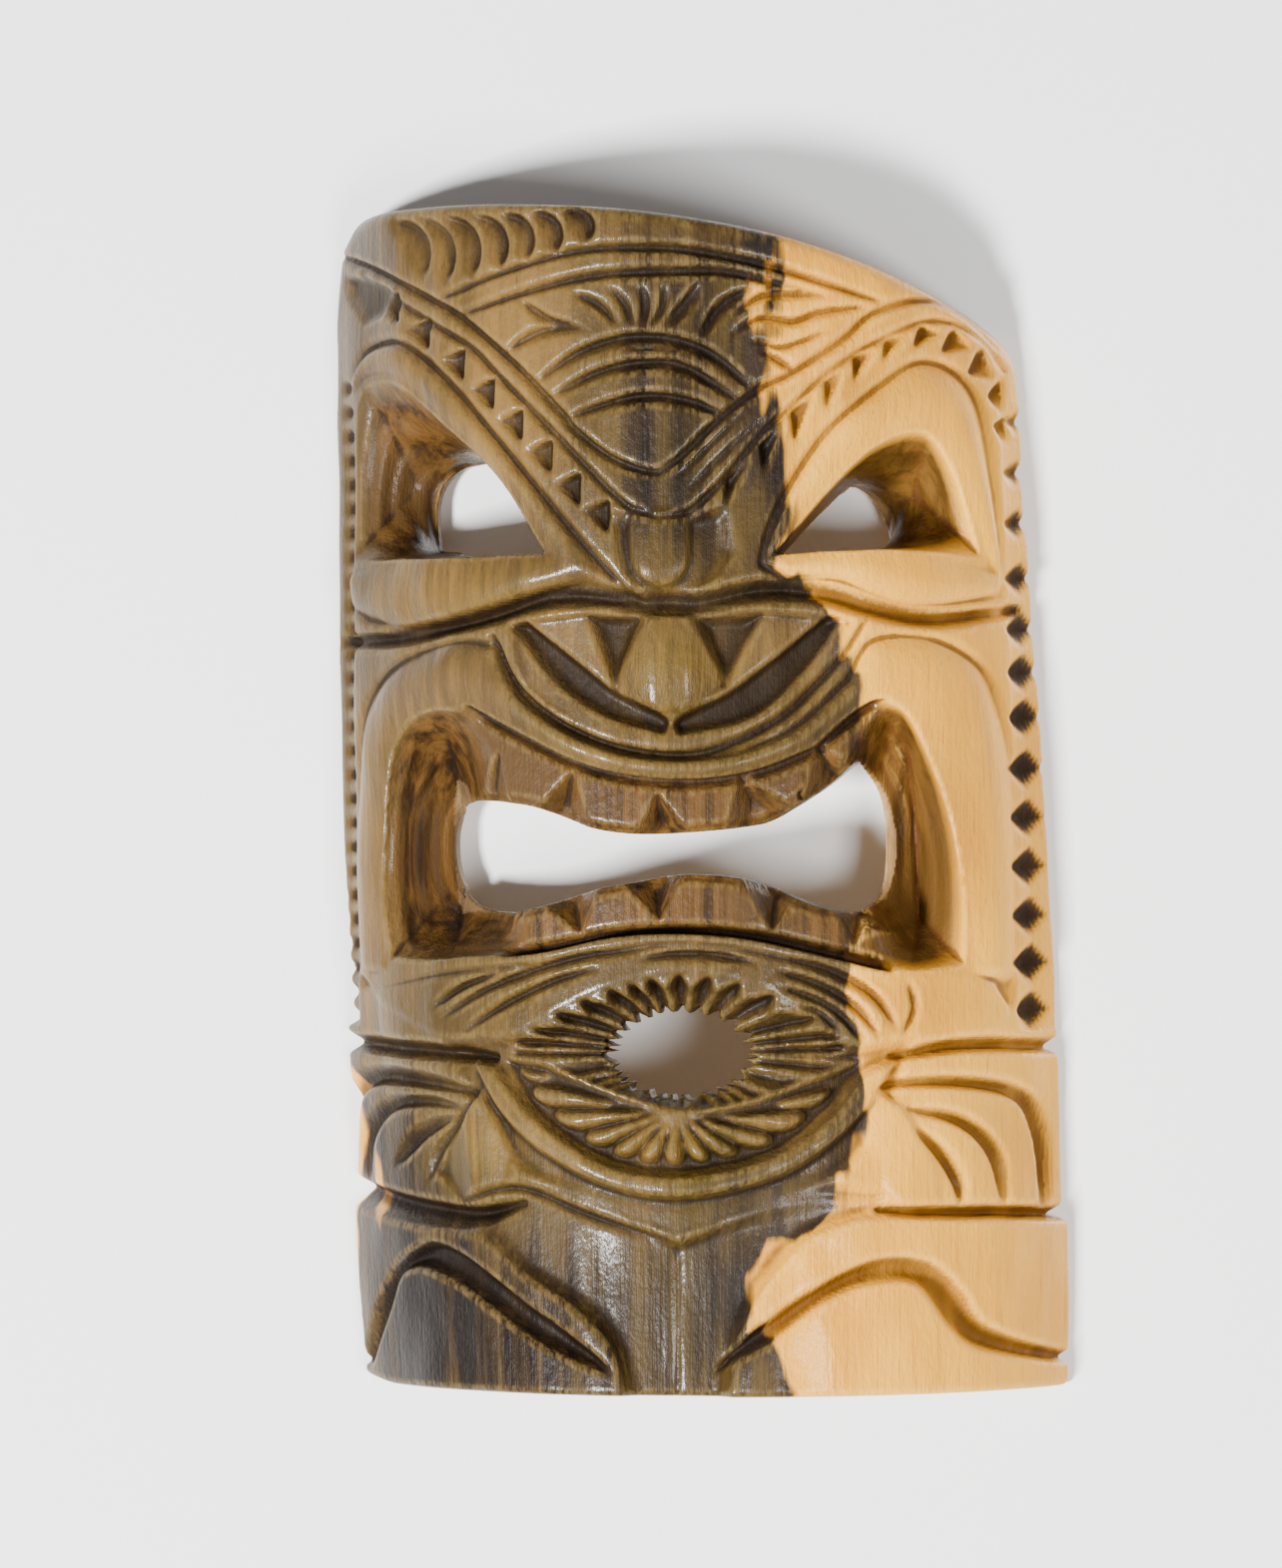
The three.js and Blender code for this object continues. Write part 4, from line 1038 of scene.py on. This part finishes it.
def wood_material():
    """Two-tone hardwood under lacquer: olive-brown streaked heartwood and honey-coloured sapwood."""
    wood = Shader("carved_wood")
    streaks = wood.noise((210, 210, 5), detail=4, roughness=0.62, distortion=0.35)
    fine = wood.noise((900, 900, 26), detail=3, roughness=0.6)
    pores = wood.noise((2300, 2300, 90), detail=1)
    clouds = wood.noise((34, 34, 20), detail=3)
    waves = wood.noise((70, 70, 18), detail=2)

    sap_place = wood.total(wood.attribute("sap"), wood.swing(waves, 34.0), wood.swing(clouds, 46.0),
                           wood.swing(fine, 2.4))
    sap = wood.rise(sap_place, -1.4, 1.8)
    brink = wood.times(wood.rise(sap_place, -11, -1.5), wood.math("SUBTRACT", 1.0, sap))

    tone = wood.attribute("tone")
    streaky = wood.swing(streaks, wood.math("ADD", wood.times(wood.math("MAXIMUM", tone, 0.0), 1.7), 0.75))
    darkness = wood.total(
        0.36, wood.times(tone, 0.60), streaky,
        wood.swing(clouds, 0.55),
        wood.swing(fine, 0.30), wood.times(brink, 0.30),
    )
    heart = wood.mix(wood.rise(darkness, -0.10, 0.45), srgb(112, 84, 42), srgb(66, 50, 24))
    heart = wood.mix(wood.rise(darkness, 0.42, 0.80), heart, srgb(40, 28, 15))
    heart = wood.mix(wood.rise(darkness, 0.80, 1.15), heart, srgb(21, 15, 11))
    green = wood.times(wood.attribute("green"), wood.rise(clouds, 0.25, 0.7), clamp=True)
    heart = wood.mix(wood.times(green, 0.8), heart, wood.mix(1.0, heart, srgb(226, 238, 120), "MULTIPLY"))
    grey = wood.math("ADD", wood.attribute("grey"), wood.times(brink, 0.4), clamp=True)
    heart = wood.mix(wood.times(grey, 0.55), heart, wood.mix(0.5, heart, srgb(82, 69, 60)))

    pale = wood.mix(wood.rise(clouds, 0.3, 0.75), srgb(240, 172, 50), srgb(220, 150, 38))
    pale = wood.mix(wood.times(wood.rise(fine, 0.52, 0.80), 0.5), pale, srgb(186, 112, 34))
    pale = wood.mix(wood.times(wood.rise(streaks, 0.56, 0.80), 0.5), pale, srgb(198, 124, 42))
    pale = wood.mix(wood.times(tone, 0.6, clamp=True), pale, srgb(132, 82, 26))
    colour = wood.mix(sap, heart, pale)

    # Deep inside the openings the wood is painted a darker, warmer brown with streaks along the walls:
    # painted shade, full from about 5 mm below the carved surface.
    within = wood.attribute("within")
    socket = wood.mix(wood.rise(streaks, 0.36, 0.66), srgb(92, 63, 28), srgb(38, 24, 12))
    socket = wood.mix(wood.rise(clouds, 0.45, 0.7), socket, srgb(70, 49, 24))
    colour = wood.mix(wood.times(within, 0.94), colour, socket)

    # Painted shade darkens the cuts and creases, and wear and lacquer lighten the edges.
    crease = wood.attribute("crease")
    cut = wood.attribute("cut")
    keep = wood.math("SUBTRACT", 1.0, wood.times(sap, 0.12))
    cut_shade = wood.times(wood.math("MAXIMUM", wood.rise(cut, 0.5, 2.6), wood.rise(crease, 0.05, 0.26)), keep)
    cut_shade = wood.times(cut_shade, wood.rise(waves, 0.05, 0.55))
    # Painted shade: the cuts and creases are mixed towards dark brown, patchy with the waves.
    colour = wood.mix(wood.times(cut_shade, 0.84), colour, wood.mix(sap, srgb(30, 22, 16), srgb(76, 42, 16)))
    # Broad painted shade over the recessed parts of the relief, patchy with the clouds.
    recess_shade = wood.times(wood.rise(wood.attribute("recess"), 0.1, 2.0), wood.rise(clouds, 0.2, 0.6))
    colour = wood.mix(wood.times(recess_shade, 0.62), colour,
                      wood.mix(1.0, colour, srgb(112, 88, 74), "MULTIPLY"))
    burnt = wood.attribute("burnt")
    colour = wood.mix(wood.times(burnt, 0.9), colour, srgb(28, 20, 15))
    worn = wood.times(wood.rise(crease, -0.05, -0.22), wood.rise(fine, 0.35, 0.65))
    fresh = wood.mix(sap, srgb(124, 101, 57), srgb(246, 190, 100))
    colour = wood.mix(wood.times(worn, 0.40), colour, fresh)
    dash = wood.rise(pores, 0.66, 0.76)
    colour = wood.mix(wood.times(dash, 0.35), colour, srgb(32, 21, 12))

    # The back and the hollow are bare, unlacquered wood.
    rear = wood.attribute("rear")
    bare = wood.mix(wood.rise(streaks, 0.35, 0.7), srgb(116, 92, 62), srgb(78, 60, 40))
    bare = wood.mix(wood.times(sap, 0.8), bare, srgb(176, 138, 90))
    colour = wood.mix(wood.times(rear, 0.9), colour, bare)

    lacquer = wood.times(wood.math("SUBTRACT", 1.0, rear), wood.math("SUBTRACT", 1.0, cut_shade))
    rough = wood.total(0.52, wood.times(lacquer, -0.10), wood.swing(clouds, 0.2))
    grit = wood.noise((620, 620, 380), detail=3, roughness=0.65)
    shine = wood.total(0.09, wood.times(wood.rise(waves, 0.45, 0.65), 0.30))
    relief = wood.total(wood.times(pores, 0.30), wood.times(fine, 0.7), grit, wood.times(waves, 1.5))
    bump = wood.node("Bump", {"Strength": 0.5, "Distance": 0.0007, "Height": relief}).outputs["Normal"]
    film = wood.total(wood.times(waves, 2.2), wood.times(grit, 0.35), wood.times(fine, 0.25))
    film_bump = wood.node("Bump", {"Strength": 0.45, "Distance": 0.0007, "Height": film}).outputs["Normal"]
    return wood.finish(Base_Color=colour, Roughness=rough, Normal=bump, Specular_IOR_Level=0.09,
                       Coat_Weight=wood.times(lacquer, shine), Coat_Roughness=0.15, Coat_IOR=1.4,
                       Coat_Normal=film_bump)


mask = build_mask()
mask.data.materials.append(wood_material())
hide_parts("mask_body")
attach(mask, "mask")


def metal_material(name, bright, tarnish, roughness):
    """Plated metal: worn bright in places, dull and spotted in others, with fine rubbed scratches."""
    metal = Shader(name)
    spots = metal.noise((260, 260, 260), detail=4, roughness=0.6)
    rubbed = metal.noise((900, 300, 300), detail=2)
    scratches = metal.noise((3200, 500, 700), detail=2, roughness=0.7)
    dull = metal.rise(spots, 0.40, 0.66)
    colour = metal.mix(dull, bright, tarnish)
    colour = metal.mix(metal.times(metal.rise(rubbed, 0.6, 0.75), 0.35), colour, srgb(64, 50, 34))
    rough = metal.total(roughness, metal.times(dull, 0.22), metal.times(rubbed, 0.10))
    height = metal.total(scratches, metal.times(spots, 0.6))
    bump = metal.node("Bump", {"Strength": 0.25, "Distance": 0.00008, "Height": height}).outputs["Normal"]
    return metal.finish(Base_Color=colour, Metallic=1.0, Roughness=rough, Normal=bump)


def dress(node, material):
    """Puts a material on a CAD node."""
    for slot in bpy.data.objects[node].material_slots:
        slot.material = material


brass = metal_material("brass_plate", srgb(205, 172, 108), srgb(142, 108, 62), 0.26)
wire = metal_material("brass_wire", srgb(212, 178, 112), srgb(150, 114, 64), 0.20)
zinc = metal_material("bright_zinc", srgb(196, 197, 198), srgb(132, 130, 126), 0.24)
dress("hanger_strap", brass)
dress("hanger_ring", wire)
dress("hanger_screw_lower", zinc)
dress("hanger_screw_upper", zinc)


# ------------------------------------------------ camera, lights and backdrop
def backdrop_material():
    """A matt white wall, open from behind to show the mask's back, that light passes through."""
    wall_look = Shader("wall")
    material = wall_look.finish(Base_Color=srgb(250, 250, 250), Roughness=0.9)
    clear = wall_look.node("BsdfTransparent").outputs[0]
    behind = wall_look.math("MAXIMUM", wall_look.node("NewGeometry").outputs["Backfacing"],
                            wall_look.node("LightPath").outputs["Is Shadow Ray"])
    mixed = wall_look.node("MixShader", {0: behind, 1: wall_look.surface.outputs[0], 2: clear}).outputs[0]
    wall_look.put(wall_look.tree.nodes["Material Output"].inputs["Surface"], mixed)
    return material


BACKDROP_REACH = 3000
BACKDROP_GAP = 1
AMBIENT = 0.24
BACKDROP_GLOW = 3.3
corners = [(x, WALL_Y + BACKDROP_GAP, z) for x, z in ((-1, -1), (1, -1), (1, 1), (-1, 1))]
wall = make_mesh("wall", [(x * BACKDROP_REACH, y, z * BACKDROP_REACH) for x, y, z in corners],
                 [[0, 1, 2, 3]], smooth=False)
wall.data.materials.append(backdrop_material())

CAMERA_DISTANCE = 2400
CAMERA_AZIMUTH = math.radians(7)
CAMERA_LENS = 214.5
CAMERA_SENSOR = 36
CAMERA_AIM_Z = 153.6
CAMERA_AIM_LEFT = 14.6
forward = Vector((-math.sin(CAMERA_AZIMUTH), math.cos(CAMERA_AZIMUTH), 0))
right = Vector((math.cos(CAMERA_AZIMUTH), math.sin(CAMERA_AZIMUTH), 0))
camera = bpy.data.objects.new("camera", bpy.data.cameras.new("camera"))
bpy.context.scene.collection.objects.link(camera)
camera.data.lens = CAMERA_LENS
camera.data.sensor_width = CAMERA_SENSOR
aim = Vector((0, WALL_Y, CAMERA_AIM_Z)) - CAMERA_AIM_LEFT * right
camera.location = (aim - CAMERA_DISTANCE * forward) * MM
camera.rotation_mode = "QUATERNION"
camera.rotation_quaternion = forward.to_track_quat("-Z", "Y")
bpy.context.scene.camera = camera


def add_light(name, place, size, power):
    data = bpy.data.lights.new(name, "AREA")
    data.shape = "RECTANGLE"
    data.size = data.size_y = size * MM
    data.energy = power
    light = bpy.data.objects.new(name, data)
    light.location = Vector(place) * MM
    light.rotation_mode = "QUATERNION"
    light.rotation_quaternion = (Vector((0, 0, HEIGHT / 2)) - Vector(place)).to_track_quat("-Z", "Y")
    bpy.context.scene.collection.objects.link(light)


add_light("key", (-1150, -2000, -500), size=380, power=175)
add_light("fill", (1000, -2000, -350), size=600, power=50)
add_light("rear_key", (1100, 1900, 900), size=900, power=40)
add_light("rear_fill", (-1000, 1900, 200), size=900, power=16)
world = bpy.data.worlds.new("world")
world.use_nodes = True
sky = world.node_tree
glow = sky.nodes["Background"]
glow.inputs["Color"].default_value = (1, 1, 1, 1)
seen = sky.nodes.new("ShaderNodeMapRange")
seen.inputs["To Min"].default_value = AMBIENT
seen.inputs["To Max"].default_value = BACKDROP_GLOW
sky.links.new(sky.nodes.new("ShaderNodeLightPath").outputs["Is Camera Ray"], seen.inputs["Value"])
sky.links.new(seen.outputs["Result"], glow.inputs["Strength"])
bpy.context.scene.world = world
